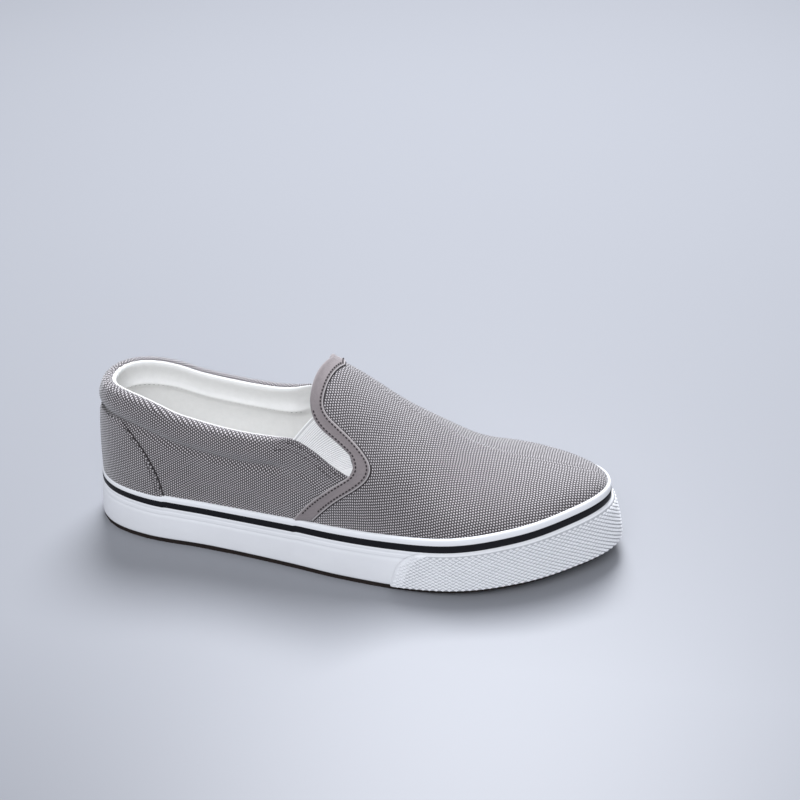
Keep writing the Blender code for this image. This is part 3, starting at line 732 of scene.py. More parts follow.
class NodeTree:
    def __init__(self, name, sizes):
        self.tree = bpy.data.node_groups.new(name, "GeometryNodeTree")
        face = self.tree.interface
        face.new_socket("Geometry", in_out="INPUT", socket_type="NodeSocketGeometry")
        for label in sizes:
            face.new_socket(label, in_out="INPUT", socket_type="NodeSocketFloat")
        face.new_socket("Material", in_out="INPUT", socket_type="NodeSocketMaterial")
        face.new_socket("Geometry", in_out="OUTPUT", socket_type="NodeSocketGeometry")
        self.given = self.tree.nodes.new("NodeGroupInput")

    def input(self, label):
        return self.given.outputs[label]

    def add(self, kind, settings=None, inputs=None):
        node = self.tree.nodes.new(kind)
        for label, value in (settings or {}).items():
            setattr(node, label, value)
        for label, value in (inputs or {}).items():
            socket = node.inputs[label]
            if isinstance(value, bpy.types.NodeSocket):
                self.tree.links.new(value, socket)
            else:
                socket.default_value = value
        return node

    def finish(self, geometry):
        real = self.add("GeometryNodeRealizeInstances", inputs={"Geometry": geometry})
        painted = self.add("GeometryNodeSetMaterial", inputs={"Geometry": real.outputs[0], "Material": self.input("Material")})
        out = self.tree.nodes.new("NodeGroupOutput")
        self.tree.links.new(painted.outputs[0], out.inputs[0])
        return self.tree


# One small shape repeated along every line, its length on the line and its height along the outward direction
def repeatTree(name, isDiamond):
    made = NodeTree(name, ("Spacing", "Length", "Width", "Height", "Lift"))
    curve = made.add("GeometryNodeMeshToCurve", inputs={"Mesh": made.input("Geometry")})
    spaced = curve
    if not isDiamond:
        spaced = made.add("GeometryNodeResampleCurve", {"mode": "LENGTH"}, {"Curve": curve.outputs[0], "Length": made.input("Spacing")})
    outward = made.add("GeometryNodeInputNamedAttribute", {"data_type": "FLOAT_VECTOR"}, {"Name": "outward"})
    offset = made.add("ShaderNodeVectorMath", {"operation": "SCALE"}, {"Vector": outward.outputs[0], "Scale": made.input("Lift")})
    lifted = made.add("GeometryNodeSetPosition", inputs={"Geometry": spaced.outputs[0], "Offset": offset.outputs[0]})
    tangent = made.add("GeometryNodeInputTangent")
    upright = made.add("FunctionNodeAlignRotationToVector", {"axis": "Z"}, {"Vector": outward.outputs[0]})
    turned = made.add("FunctionNodeAlignRotationToVector", {"axis": "X", "pivot_axis": "Z"},
                      {"Rotation": upright.outputs[0], "Vector": tangent.outputs[0]})
    if isDiamond:
        shape = made.add("GeometryNodeMeshCone", {"fill_type": "NGON"},
                         {"Vertices": 4, "Radius Top": 0.24, "Radius Bottom": 0.5, "Depth": 1.0})
    else:
        shape = made.add("GeometryNodeMeshUVSphere", inputs={"Segments": 8, "Rings": 6, "Radius": 0.5})
    size = made.add("ShaderNodeCombineXYZ", inputs={"X": made.input("Length"), "Y": made.input("Width"), "Z": made.input("Height")})
    copies = made.add("GeometryNodeInstanceOnPoints", inputs={
        "Points": lifted.outputs[0], "Instance": shape.outputs[0], "Rotation": turned.outputs[0], "Scale": size.outputs[0]})
    return made.finish(copies.outputs[0])


# A round cord swept along every line
def cordTree(name):
    made = NodeTree(name, ("Radius", "Lift"))
    curve = made.add("GeometryNodeMeshToCurve", inputs={"Mesh": made.input("Geometry")})
    outward = made.add("GeometryNodeInputNamedAttribute", {"data_type": "FLOAT_VECTOR"}, {"Name": "outward"})
    offset = made.add("ShaderNodeVectorMath", {"operation": "SCALE"}, {"Vector": outward.outputs[0], "Scale": made.input("Lift")})
    lifted = made.add("GeometryNodeSetPosition", inputs={"Geometry": curve.outputs[0], "Offset": offset.outputs[0]})
    ring = made.add("GeometryNodeCurvePrimitiveCircle", inputs={"Resolution": 7, "Radius": made.input("Radius")})
    swept = made.add("GeometryNodeCurveToMesh", inputs={"Curve": lifted.outputs[0], "Profile Curve": ring.outputs[0], "Fill Caps": True})
    return made.finish(swept.outputs[0])


stitchTree = repeatTree("stitches", False)
diamondTree = repeatTree("diamonds", True)
pipingTree = cordTree("cords")


def grow(name, lines, tree, sizes, material, slot, smooth=True):
    base = addLines(name + "_line", lines)
    modifier = base.modifiers.new("grow", "NODES")
    modifier.node_group = tree
    wanted = {**sizes, "Material": material}
    for item in tree.interface.items_tree:
        if item.in_out == "INPUT" and item.name in wanted:
            modifier[item.identifier] = wanted[item.name]
    shown = base.evaluated_get(bpy.context.evaluated_depsgraph_get())
    mesh = bpy.data.meshes.new_from_object(shown)
    base.modifiers.remove(modifier)
    bpy.data.objects.remove(base)
    mesh.name = name
    if smooth:
        mesh.shade_smooth()
    piece = bpy.data.objects.new(name, mesh)
    bpy.context.scene.collection.objects.link(piece)
    return placed(piece, slot)


# Rows of small raised diamonds over the toe strip. All rows share their steps, each row half a step on from the
# one below, so that the pattern stays staggered from the toe's tip to the strip's ends.
def bumperPoint(t, side, climb):
    start = bumperStart(climb)
    return bumperPlace((t - start) / (1 - start), side, climb)[0]


def diamondSteps(side, first):
    middle, _, _, rounds = bumperPlace(np.linspace(1, 0, 500), side, 0.5)
    far = np.concatenate([[0], np.cumsum(np.linalg.norm(np.diff(middle, axis=0), axis=1))])
    return np.interp(np.arange(first, far[-1], bumper["pitch"]), far, rounds)


def diamondRows():
    lines = []
    for row in range(bumper["rows"]):
        climb = bumper["lowest"] + (bumper["highest"] - bumper["lowest"]) * (row + 0.5) / bumper["rows"]
        start = bumperStart(climb)
        halves = []
        for side in (outer, inner):
            t = diamondSteps(side, bumper["pitch"] * (0.5 if row % 2 else 1.0 if side == inner else 0.0))
            t = t[t > start + bumper["border"] * (1 - start)]
            halves.append((bumperPoint(t, side, climb), bumperPoint(t, side, climb + 0.01)))
        path, above = (np.concatenate([halves[0][k][::-1], halves[1][k]]) for k in (0, 1))
        normal = np.cross(above - path, np.gradient(path, axis=0))
        normal /= np.linalg.norm(normal, axis=1, keepdims=True)
        centre = np.array([0.05, 0.0, path[:, 2].mean()])
        normal *= np.sign(np.einsum("ij,ij->i", normal, path - centre))[:, None]
        lines.append((path, normal))
    return lines


diamonds = grow("toe_diamonds", diamondRows(), diamondTree,
                {"Length": bumper["pitch"] * 0.86, "Width": bumper["pitch"] * 0.47,
                 "Height": bumper["height"], "Lift": 0.00008}, whiteRubber, "white_rubber", False)
print("toe strip made, %d faces on its diamonds" % len(diamonds.data.polygons))


# Soft troughs (-) and ridges (+) of the canvas: side, along, height share, reach along, reach up, turn, depth
folds = [
    (outer, 0.372, 0.640, 0.035, 0.040, -0.10, -0.0012), (inner, 0.372, 0.640, 0.035, 0.040, -0.10, -0.0012),
    (outer, 0.440, 0.603, 0.045, 0.020, -0.34, 0.0007), (inner, 0.440, 0.603, 0.045, 0.020, -0.34, 0.0007),
    (outer, 0.452, 0.645, 0.040, 0.032, -0.36, -0.0007), (inner, 0.452, 0.645, 0.040, 0.032, -0.36, -0.0007),
    (outer, 0.420, 0.520, 0.050, 0.050, -0.30, -0.0006), (inner, 0.420, 0.520, 0.050, 0.050, -0.30, -0.0006),
    (outer, 0.300, 0.520, 0.070, 0.060, 0.00, 0.0007), (inner, 0.250, 0.500, 0.070, 0.050, -0.10, 0.0006),
    (outer, 0.190, 0.480, 0.060, 0.070, 0.20, -0.0005), (outer, 0.620, 0.500, 0.050, 0.090, 0.50, -0.0006),
    (inner, 0.640, 0.480, 0.050, 0.090, 0.50, -0.0006), (outer, 0.740, 0.430, 0.060, 0.070, 0.00, 0.0005),
    (inner, 0.735, 0.540, 0.065, 0.120, -0.20, -0.0018),
]
collarLook = {"groove": 0.0014, "grooveWidth": 0.13, "roll": 0.0006, "pucker": 0.00022, "puckerStart": 0.10, "seam": 0.0006,
              "liningStitch": 0.0011, "liningDepth": 1.05}


def foldLift(t, side, rise):
    along = alongFromRound(t)
    height = lastSurface(t, side, rise)[..., 2] / shoe["heelHeight"]
    lift = 0 * along + 0 * height
    for foldSide, atAlong, atHeight, reachAlong, reachUp, turn, depth in folds:
        if foldSide != side:
            continue
        a, h = (along - atAlong) * shoe["soleLength"], (height - atHeight) * shoe["heelHeight"]
        across = a * math.cos(turn) + h * math.sin(turn)
        up = -a * math.sin(turn) + h * math.cos(turn)
        lift = lift + depth * np.exp(-(across / (reachAlong * shoe["soleLength"])) ** 2 - (up / (reachUp * shoe["heelHeight"])) ** 2)
    return lift


def collarValue(column, depth):
    return readRows(collarRows, column, depth / shoe["collarDepth"])


def upperLift(along, depth, t):
    share = depth / shoe["collarDepth"]
    pad = padding(along)
    lift = pad * shoe["collarPuff"] * collarValue(1, depth)
    lift = lift + pad * collarLook["roll"] * np.exp(-((share - 0.55) / 0.26) ** 2)
    lift = lift - collarLook["groove"] * np.clip(pad + 0.35, 0, 1) * (along < 0.47) * np.exp(-((share - 1.0) / collarLook["grooveWidth"]) ** 2)
    around = t * 2.0
    near = np.clip(1 - along / collarLook["puckerStart"], 0, 1)
    lift = lift + collarLook["pucker"] * near * np.sin(around * 95) * np.exp(-((share - 0.05) / 0.35) ** 2)
    lift = lift - collarLook["seam"] * np.exp(-(t / 0.006) ** 2) * (share < 1.05)
    return lift


def upperThickness(along, depth):
    pad = padding(along)
    share = depth / shoe["collarDepth"]
    thick = shoe["wall"] + (shoe["collarThickness"] - shoe["wall"]) * pad * np.clip(collarValue(2, depth), 0, 1)
    return thick - collarLook["liningStitch"] * pad * np.exp(-((share - collarLook["liningDepth"]) / 0.045) ** 2)


upper = {"quarterColumns": 120, "vampColumns": 84, "lowRows": 12, "collarRows": 30, "highRows": 46,
         "turns": (0.07, 0.16, 0.26, 0.36, 0.45, 0.52, 0.565, 0.595, 0.62, 0.655, 0.71, 0.80, 0.90),
         "liningFrom": 7, "crease": 0.00055, "liningRoll": 0.00035, "throatCap": 0.0004}


def rimCap(along):
    thick = shoe["wall"] + (shoe["collarThickness"] - shoe["wall"]) * padding(along)
    return shoe["capRoundness"] * thick / 2


def quarterHeights(t):
    along = alongFromRound(t)
    foot = floorHeight(along) + gap
    rim = rimHeight(along)
    shoulder = rim - 1.5 * shoe["collarDepth"]
    top = rim - rimCap(along)
    low = foot[..., None] + (shoulder - foot)[..., None] * np.linspace(0, 1, upper["lowRows"], endpoint=False)
    high = shoulder[..., None] + (top - shoulder)[..., None] * np.linspace(0, 1, upper["collarRows"])
    return np.concatenate([low, high], -1)


def bindingValue(column, row, side=outer):
    values = bindingRows[:, column] + (innerForward if side == inner and column in (0, 2) else 0)
    return smoothCurve(np.arange(bindingEnd + 1.0), values, row)


# Distances over the cloth, in metres, for the weave. The quarter counts round the heel and up from the foot,
# the vamp along the crown's line and down from it on slices of equal x.
cloth = {"rounds": 320, "rises": 140, "aroundRise": 0.38, "vampFrom": 0.34, "slices": 300, "vampStretch": (0.81, 1.04)}


def clothTable(side):
    t = np.linspace(0, 1, cloth["rounds"])
    rise = np.linspace(0, 1, cloth["rises"])
    grid = lastSurface(t[:, None], side, rise[None, :])
    steps = np.linalg.norm(np.diff(grid, axis=1), axis=2)
    fromFoot = np.concatenate([np.zeros((len(t), 1)), np.cumsum(steps, axis=1)], 1)
    ring = grid[:, int(cloth["aroundRise"] * cloth["rises"])]
    around = np.concatenate([[0], np.cumsum(np.linalg.norm(np.diff(ring, axis=0), axis=1))])
    front = grid[alongFromRound(t) > cloth["vampFrom"]]
    x = np.linspace(front[0, :, 0].max(), front[-1, -1, 0], cloth["slices"])
    slices = np.stack([np.stack([np.interp(x, front[:, j, 0], front[:, j, k]) for k in (1, 2)], -1)
                       for j in range(cloth["rises"])], 1)
    steps = np.linalg.norm(np.diff(slices[:, ::-1], axis=1), axis=2)
    down = np.concatenate([np.zeros((len(x), 1)), np.cumsum(steps, axis=1)], 1)[:, ::-1]
    crown = slices[:, -1]
    ahead = np.concatenate([[0], np.cumsum(np.hypot(np.diff(x), np.diff(crown[:, 1])))])
    return {"fromFoot": fromFoot, "around": around, "x": x, "down": down, "ahead": ahead}


clothTables = {side: clothTable(side) for side in (outer, inner)}


def readGrid(table, a, b):
    a, b = np.clip(a, 0, 1) * (table.shape[0] - 1), np.clip(b, 0, 1) * (table.shape[1] - 1)
    i, j = np.minimum(a.astype(int), table.shape[0] - 2), np.minimum(b.astype(int), table.shape[1] - 2)
    a, b = a - i, b - j
    return ((1 - a) * (1 - b) * table[i, j] + a * (1 - b) * table[i + 1, j]
            + (1 - a) * b * table[i, j + 1] + a * b * table[i + 1, j + 1])


def clothPlace(t, side, rise, onVamp):
    table = clothTables[side]
    if onVamp:
        x = lastSurface(t, side, rise)[..., 0]
        share = (x - table["x"][0]) / (table["x"][-1] - table["x"][0])
        ahead, down = np.interp(x, table["x"], table["ahead"]), readGrid(table["down"], share, rise)
        return np.stack([ahead, side * down], -1) * np.array(cloth["vampStretch"])
    arc = np.interp(t, np.linspace(0, 1, cloth["rounds"]), table["around"])
    return np.stack([side * arc, readGrid(table["fromFoot"], t, rise)], -1)


bindingMidAlong = (bindingRows[:, 0] + bindingRows[:, 2]) / 2
bindingMidRise = (bindingRows[:, 1] + bindingRows[:, 3]) / 2


# Closed wall between an outer and an inner sheet of the same quads; its open edges turn over along the given turns
def closeWall(outside, inside, quads, cap, turns, creases):
    count = len(outside)
    directed = {}
    for quad in quads:
        for a, b in zip(quad, quad[1:] + quad[:1]):
            directed[(a, b)] = quad
    border = [(a, b, quad) for (a, b), quad in directed.items() if (b, a) not in directed]
    beyond = {}
    for a, b, quad in border:
        run = outside[b] - outside[a]
        run = run / np.linalg.norm(run)
        away = (outside[a] + outside[b]) / 2 - outside[list(quad)].mean(axis=0)
        away -= run * np.dot(away, run)
        away /= np.linalg.norm(away)
        for k in (a, b):
            beyond[k] = beyond.get(k, np.zeros(3)) + away
    points = [*outside, *inside]
    source = list(range(count)) * 2
    rings = {}
    for k, away in beyond.items():
        ring = [k]
        if cap[k] > 0:
            away = away / np.linalg.norm(away)
            middle, half = (outside[k] + inside[k]) / 2, (outside[k] - inside[k]) / 2
            for share, dent in zip(turns, creases):
                turn = math.pi * share
                ring.append(len(points))
                scale = min(1.0, cap[k] / 0.002)
                points.append(middle + half * math.cos(turn) + away * (cap[k] * math.sin(turn) + dent * scale))
                source.append(k)
        ring.append(k + count)
        rings[k] = ring
    faces = [tuple(quad) for quad in quads] + [tuple(k + count for k in reversed(quad)) for quad in quads]
    kinds = [0] * len(quads) + [1] * len(quads)
    for a, b, quad in border:
        for k in range(len(rings[a]) - 1):
            faces.append((rings[b][k], rings[a][k], rings[a][k + 1], rings[b][k + 1]))
            kinds.append(2 + k)
    return np.array(points), faces, np.array(kinds), np.array(source)


def addUpper():
    corner = float(roundFromAlong(bindingRows[bindingCorner, 0]))
    cornerRises = riseAtHeight(corner, quarterHeights(np.array(corner)))
    lowCount, highCount = len(cornerRises), upper["highRows"]
    edgeRows = bindingCorner + (bindingEnd - bindingCorner) * np.arange(1, highCount + 1) / highCount
    edgeRounds = {side: roundFromAlong(np.interp(edgeRows, np.arange(bindingEnd + 1), bindingRows[:, 0] + forward))
                  for side, forward in ((outer, 0.0), (inner, innerForward))}
    edgeRises = np.interp(edgeRows, np.arange(bindingEnd + 1), bindingRows[:, 1])
    top = lowCount + highCount - 1
    outside, inside, caps, uvQuarter, uvVamp, places = [], [], [], [], [], []
    index = {}

    def addGrid(part, side, t, rise, depth, cap, known):
        along = alongFromRound(t)
        lift = upperLift(along, depth, t) if part == "quarter" else 0 * t
        lift = lift + foldLift(t, side, rise)
        a = lastPoint(t, side, rise, lift)
        b = lastPoint(t, side, rise, lift - upperThickness(along, depth))
        q, v = clothPlace(t, side, rise, False), clothPlace(t, side, rise, True)
        numbers = np.empty(t.shape, int)
        for i in range(t.shape[0]):
            for j in range(t.shape[1]):
                found = known(i, j)
                if found is not None:
                    numbers[i, j] = found
                    continue
                numbers[i, j] = len(outside)
                outside.append(a[i, j])
                inside.append(b[i, j])
                caps.append(cap[i, j])
                uvQuarter.append(q[i, j])
                uvVamp.append(v[i, j])
                places.append((t[i, j], side, rise[i, j]))
        index[(part, side)] = numbers

    quads = []
    for side in (outer, inner):
        t = np.linspace(0, corner, upper["quarterColumns"] + 1)
        heights = quarterHeights(t)
        t = np.broadcast_to(t[:, None], heights.shape)
        rise = riseAtHeight(t, heights)
        depth = rimHeight(alongFromRound(t)) - heights
        cap = np.zeros(t.shape)
        cap[:, -1] = rimCap(alongFromRound(t[:, 0]))
        addGrid("quarter", side, t, rise, depth, cap,
                lambda i, j: index[("quarter", outer)][0, j] if side == inner and i == 0 else None)
        share = np.linspace(0, 1, upper["vampColumns"] + 1)[:, None]
        even = cornerRises[-1] + (1 - cornerRises[-1]) * np.arange(1, highCount + 1) / highCount
        rise = np.concatenate([np.broadcast_to(cornerRises, (len(share), lowCount)), edgeRises * (1 - share) + even * share], 1)
        rounds = np.concatenate([np.full(lowCount, corner), edgeRounds[side]])
        t = rounds + (1 - rounds) * share
        cap = np.zeros(t.shape)
        cap[0] = upper["throatCap"]
        depth = np.full(t.shape, 2 * shoe["collarDepth"])

        def knownVamp(i, j):
            if i == 0 and j < lowCount:
                return index[("quarter", side)][-1, j]
            if side == inner and (j == top or i == upper["vampColumns"]):
                return index[("vamp", outer)][i, j]
            return None

        addGrid("vamp", side, t, rise, depth, cap, knownVamp)
        for part in ("quarter", "vamp"):
            n = index[(part, side)]
            for i in range(n.shape[0] - 1):
                for j in range(n.shape[1] - 1):
                    quad = [int(n[i, j]), int(n[i + 1, j]), int(n[i + 1, j + 1]), int(n[i, j + 1])]
                    quads.append(tuple(quad if side == outer else reversed(quad)))
    creases = []
    for share in upper["turns"]:
        dent = -upper["crease"] * math.exp(-((share - 0.60) / 0.022) ** 2)
        dent += upper["liningRoll"] * (share > 0.61) * math.sin(math.pi * min((share - 0.60) / 0.4, 1))
        creases.append(dent)
    outside, inside = np.array(outside), np.array(inside)
    points, faces, kinds, source = closeWall(outside, inside, quads, caps, upper["turns"], creases)
    turned = signedSize(points, faces) < 0
    places = np.array(places)
    uvQuarter, uvVamp = np.array(uvQuarter), np.array(uvVamp)
    loops, faceMaterial = [], []
    for number, face in enumerate(faces):
        near = places[source[list(face)]]
        rise, along = near[:, 2].mean(), float(alongFromRound(near[:, 0].mean()))
        onVamp = along > np.interp(rise, bindingMidRise, bindingMidAlong)
        field = uvVamp if onVamp else uvQuarter
        place = field[source[list(face)]].copy()
        if not onVamp:
            flip = near[:, 1] == -np.sign(near[:, 1].sum() or 1)
            place[flip & (near[:, 0] < 1e-6), 0] *= -1
        if onVamp and abs(near[:, 1].sum()) != len(face):
            onSeam = near[:, 2] > 1 - 1e-6
            place[onSeam, 1] = 0
        if kinds[number] >= 2:
            ringStep = kinds[number] - 2
            place[:, 1] += np.array([ringStep, ringStep, ringStep + 1, ringStep + 1]) * 0.0006
        loops.append(place[::-1] if turned else place)
        if kinds[number] == 0 or 2 <= kinds[number] < 2 + upper["liningFrom"] + 1:
            faceMaterial.append(0)
        else:
            faceMaterial.append(1)
    if turned:
        faces = [tuple(reversed(f)) for f in faces]
    piece = addMesh("canvas_upper", points, faces, [canvas, lining], faceMaterial, np.concatenate(loops))
    return piece


upperPiece = placed(addUpper(), "grey_canvas", "upper")
print("upper made, %d faces" % len(upperPiece.data.polygons))


# A small overlay on the last from rows of (t, rise) on one or both sides
def addOverlay(name, t, rise, sides, liftOut, liftIn, cap, material, slot, node, uvOnVamp=False):
    outside, inside, place = [], [], []
    for side in (outer, inner):
        keep = sides == side
        if not keep.any():
            continue
        a = lastPoint(t, side, rise, liftOut)
        b = lastPoint(t, side, rise, liftIn)
        c = clothPlace(t, side, rise, uvOnVamp)
        outside.append(np.where(keep[..., None], a, 0))
        inside.append(np.where(keep[..., None], b, 0))
        place.append(np.where(keep[..., None], c, 0))
    outside, inside, place = sum(outside), sum(inside), sum(place)
    rows, across = t.shape
    quads = [(i * across + j, i * across + j + 1, (i + 1) * across + j + 1, (i + 1) * across + j)
             for i in range(rows - 1) for j in range(across - 1)]
    points, faces, kinds, source = closeWall(outside.reshape(-1, 3), inside.reshape(-1, 3), quads, [cap] * (rows * across),
                                             (0.2, 0.4, 0.6, 0.8), (0, 0, 0, 0))
    uv = np.concatenate([place.reshape(-1, 2)[source[list(face)]] for face in faces])
    if signedSize(points, faces) < 0:
        uv = np.concatenate([place.reshape(-1, 2)[source[list(face)]][::-1] for face in faces])
        faces = [tuple(reversed(f)) for f in faces]
    return placed(addMesh(name, points, faces, [material], None, uv), slot, node)


# Heel patch: climb from the sidewall to the collar's groove, along of its front edge
patch = {"thickness": 0.0010, "topDepth": 1.04, "rows": 46, "half": 60}
patchRows = np.array([(0.00, 0.154), (0.25, 0.147), (0.50, 0.134), (0.70, 0.116), (0.83, 0.098), (0.94, 0.081), (1.00, 0.068)])


def patchPlace(climb, share):
    front = roundFromAlong(readRows(patchRows, 1, climb))
    t = front * np.abs(share)
    along = alongFromRound(t)
    low = foxingTop(along) - 0.001
    high = rimHeight(along) - patch["topDepth"] * shoe["collarDepth"]
    return t, riseAtHeight(t, low + (high - low) * climb)


def addPatch():
    climb = np.linspace(0, 1, patch["rows"] + 1)[:, None]
    share = np.linspace(-1, 1, 2 * patch["half"] + 1)[None, :]
    climb, share = np.broadcast_arrays(climb, share)
    t, rise = patchPlace(climb, share)
    sides = np.where(share < 0, outer, inner)
    edge = np.clip((1 - np.abs(share)) / 0.03, 0, 1)
    lift = gap + patch["thickness"] * (0.72 + 0.28 * edge)
    lift = lift - 0.0007 * np.clip((climb - 0.93) / 0.07, 0, 1)
    for side in (outer, inner):
        lift = lift + np.where(sides == side, foldLift(t, side, rise), 0)
    return addOverlay("heel_overlay", t, rise, sides, lift, lift * 0 - 0.0006, 0.00025, canvas, "grey_canvas", "heel_patch")


heelOverlay = addPatch()

# Gore: the elastic seen in each side slot
gore = {"topAlong": 0.415, "first": 8.95, "last": 4.25, "ribSpacing": 0.00100, "ribRadius": 0.00038, "recess": 0.0004,
        "thickness": 0.0010, "hem": 0.0030}


def gorePlace(number, share):
    rows = np.arange(bindingEnd + 1)
    frontAlong, frontRise = np.interp(number, rows, bindingRows[:, 0]), np.interp(number, rows, bindingRows[:, 1])
    down = (9 - number) / (9 - bindingCorner)
    lowAlong = gore["topAlong"] + (bindingRows[bindingCorner, 0] - gore["topAlong"]) * down
    lowT, frontT = roundFromAlong(lowAlong), roundFromAlong(frontAlong)
    lowRise = riseAtHeight(lowT, rimHeight(lowAlong) - 0.0010)
    return lowT + (frontT - lowT) * share, lowRise + (frontRise - lowRise) * share


def addGore(name, side, node):
    number = np.linspace(gore["first"], gore["last"], 40)[:, None]
    share = np.linspace(0, 1.02, 14)[None, :]
    t, rise = gorePlace(*np.broadcast_arrays(number, share))
    lift = np.full(t.shape, -gore["recess"]) - 0.0003 * np.sin(np.pi * share) + 0 * t
    # The sheet between the ribs takes the elastic's darker copy, a painted shade
    return addOverlay(name, t, rise, np.full(t.shape, side), lift, lift - gore["thickness"], 0.0003, elasticShadedCopy, "white_elastic", node, True)


def goreRibs(side):
    ends = []
    for number in (gore["first"], gore["last"]):
        t, rise = gorePlace(np.array([number]), np.array([0.5]))
        ends.append(lastSurface(t[0], side, rise[0]))
    count = int(np.linalg.norm(ends[1] - ends[0]) / gore["ribSpacing"])
    lines = []
    for number in np.linspace(gore["first"] - 0.35, gore["last"], count):
        t, rise = gorePlace(np.full(9, number), np.linspace(0, 1.0, 9))
        lift = -gore["recess"] - 0.0003 * np.sin(np.pi * np.linspace(0, 1, 9))
        lines.append((lastPoint(t, side, rise, lift), lastNormal(t, side, rise)))
    return lines


goreOuter = addGore("elastic_outer", outer, "gore_outer")
goreInner = addGore("elastic_inner", inner, "gore_inner")
ribs = grow("elastic_ribs", goreRibs(outer) + goreRibs(inner), pipingTree,
            {"Radius": gore["ribRadius"], "Lift": -0.00012}, elastic, "white_elastic")


# Rolled hem of each elastic at its top edge
def hemLines(side, back):
    t, rise = gorePlace(np.full(12, gore["first"] - back), np.linspace(0, 1.0, 12))
    lift = -gore["recess"] - 0.0003 * np.sin(np.pi * np.linspace(0, 1, 12))
    return lastPoint(t, side, rise, lift), lastNormal(t, side, rise)


hems = grow("elastic_hems", [hemLines(side, back) for side in (outer, inner) for back in (0.0, 0.24)], pipingTree,
            {"Radius": 0.00042, "Lift": -0.0001}, elastic, "white_elastic")
print("elastics made")

# Binding: a flat tape along the vamp's edge, folded over the throat
binding = {"thickness": 0.0012, "stations": 150, "fold": 0.0011, "inside": 0.62, "piping": 0.00046,
           "stitchSpacing": 0.00205, "stitchLength": 0.00160, "stitchWidth": 0.00090}


def bindingPlace(row, share, side):
    rearT, frontT = roundFromAlong(bindingValue(0, row, side)), roundFromAlong(bindingValue(2, row, side))
    rearRise, frontRise = np.minimum(bindingValue(1, row), 1), np.minimum(bindingValue(3, row), 1)
    t = rearT + (frontT - rearT) * share
    rise = np.clip(rearRise + (frontRise - rearRise) * share, 0, 1)
    return t, np.maximum(rise, riseAtHeight(t, foxingTop(alongFromRound(t)) - 0.001))


# Cross-section of the tape: share across, lift on the outside; the turned part follows it round the edge
tapeOutside = ((1.03, 0.0000), (1.02, 0.0006), (0.97, 0.0011), (0.90, 0.0013), (0.80, 0.0012), (0.60, 0.00105), (0.40, 0.0010),
               (0.20, 0.00115), (0.10, 0.0013), (0.03, 0.0011), (-0.03, 0.0006))
tapeTurned = ((-0.06, -0.0002), (-0.06, -0.0012), (0.00, -0.0024), (0.15, -0.0029), (0.55, -0.0028), (0.62, -0.0021), (0.40, -0.0016))
tapeFlat = ((-0.05, 0.0001), (-0.04, -0.0001), (0.0, -0.0003), (0.15, -0.0003), (0.4, -0.0003), (0.6, -0.0003), (0.8, -0.0003))


def addBinding():
    rows = np.concatenate([np.linspace(0, bindingEnd, binding["stations"] + 1)])
    stations = []
    for side, numbers in ((outer, rows), (inner, rows[-2::-1])):
        turned = np.clip((numbers - bindingCorner) / 0.6, 0, 1)
        columns, lifts = [], []
        for share, lift in tapeOutside:
            columns.append(0 * numbers + share)
            lifts.append(0 * numbers + lift)
        for (shareA, liftA), (shareB, liftB) in zip(tapeFlat, tapeTurned):
            columns.append(shareA + (shareB - shareA) * turned)
            lifts.append(liftA + (liftB - liftA) * turned)
        share, lift = np.stack(columns, 1), np.stack(lifts, 1)
        t, rise = bindingPlace(numbers[:, None], share, side)
        stations.append((lastPoint(t, side, rise, lift + foldLift(t, side, rise)), numbers, side))
    grid = np.concatenate([s[0] for s in stations])
    count, depth = grid.shape[:2]
    along = np.concatenate([[0], np.cumsum(np.linalg.norm(np.diff(grid[:, 5], axis=0), axis=1))])
    across = np.concatenate([[0], np.cumsum(np.linalg.norm(np.diff(grid[count // 4], axis=0), axis=1))])
    place = np.stack(np.broadcast_arrays(along[:, None], across[None, :]), -1).reshape(-1, 2)
    points = grid.reshape(-1, 3)
    faces = [(i * depth + j, (i + 1) * depth + j, (i + 1) * depth + (j + 1) % depth, i * depth + (j + 1) % depth)
             for i in range(count - 1) for j in range(depth)]
    faces.append(tuple(range(depth)))
    faces.append(tuple(reversed(range((count - 1) * depth, count * depth))))
    if signedSize(points, faces) < 0:
        faces = [tuple(reversed(f)) for f in faces]
    uv = np.concatenate([place[list(face)] for face in faces])
    return placed(addMesh("vamp_tape", points, faces, [tape], None, uv), "grey_trim", "vamp_binding")


vampTape = addBinding()


def bindingLine(share, lift, first, last, side, count=120):
    rows = np.linspace(first, last, count)
    t, rise = bindingPlace(rows, np.full(count, share), side)
    return lastPoint(t, side, rise, lift + foldLift(t, side, rise)), lastNormal(t, side, rise)


def throughTop(share, lift, first):
    a, normalA = bindingLine(share, lift, first, bindingEnd, outer)
    b, normalB = bindingLine(share, lift, bindingEnd, first, inner)
    return np.concatenate([a, b[1:]]), np.concatenate([normalA, normalB[1:]])


pipingLines = [throughTop(1.05, 0.0005, 0.0)]
pipingLines += [bindingLine(-0.04, 0.0005, 0.0, bindingCorner, side, 60) for side in (outer, inner)]
piping = grow("tape_piping", pipingLines, pipingTree, {"Radius": binding["piping"], "Lift": 0.0}, paleThread, "grey_trim")
# Painted shade: a dark cord along the canvas side of the piping stands for the shade in the crease there
tapeCreaseShade = grow("tape_crease_shade", [throughTop(1.15, 0.0, 0.0)], pipingTree, {"Radius": 0.00034, "Lift": 0.0}, darkThread, "grey_trim")
tapeStitchLines = [throughTop(0.86, 0.0013, 0.6)]
tapeStitchLines += [bindingLine(0.14, 0.0012, 0.5, 9.3, side) for side in (outer, inner)]
tapeStitches = grow("tape_stitches", tapeStitchLines, stitchTree,
                    {"Spacing": binding["stitchSpacing"], "Length": binding["stitchLength"], "Width": binding["stitchWidth"],
                     "Height": 0.0005, "Lift": 0.00006}, darkThread, "grey_trim")


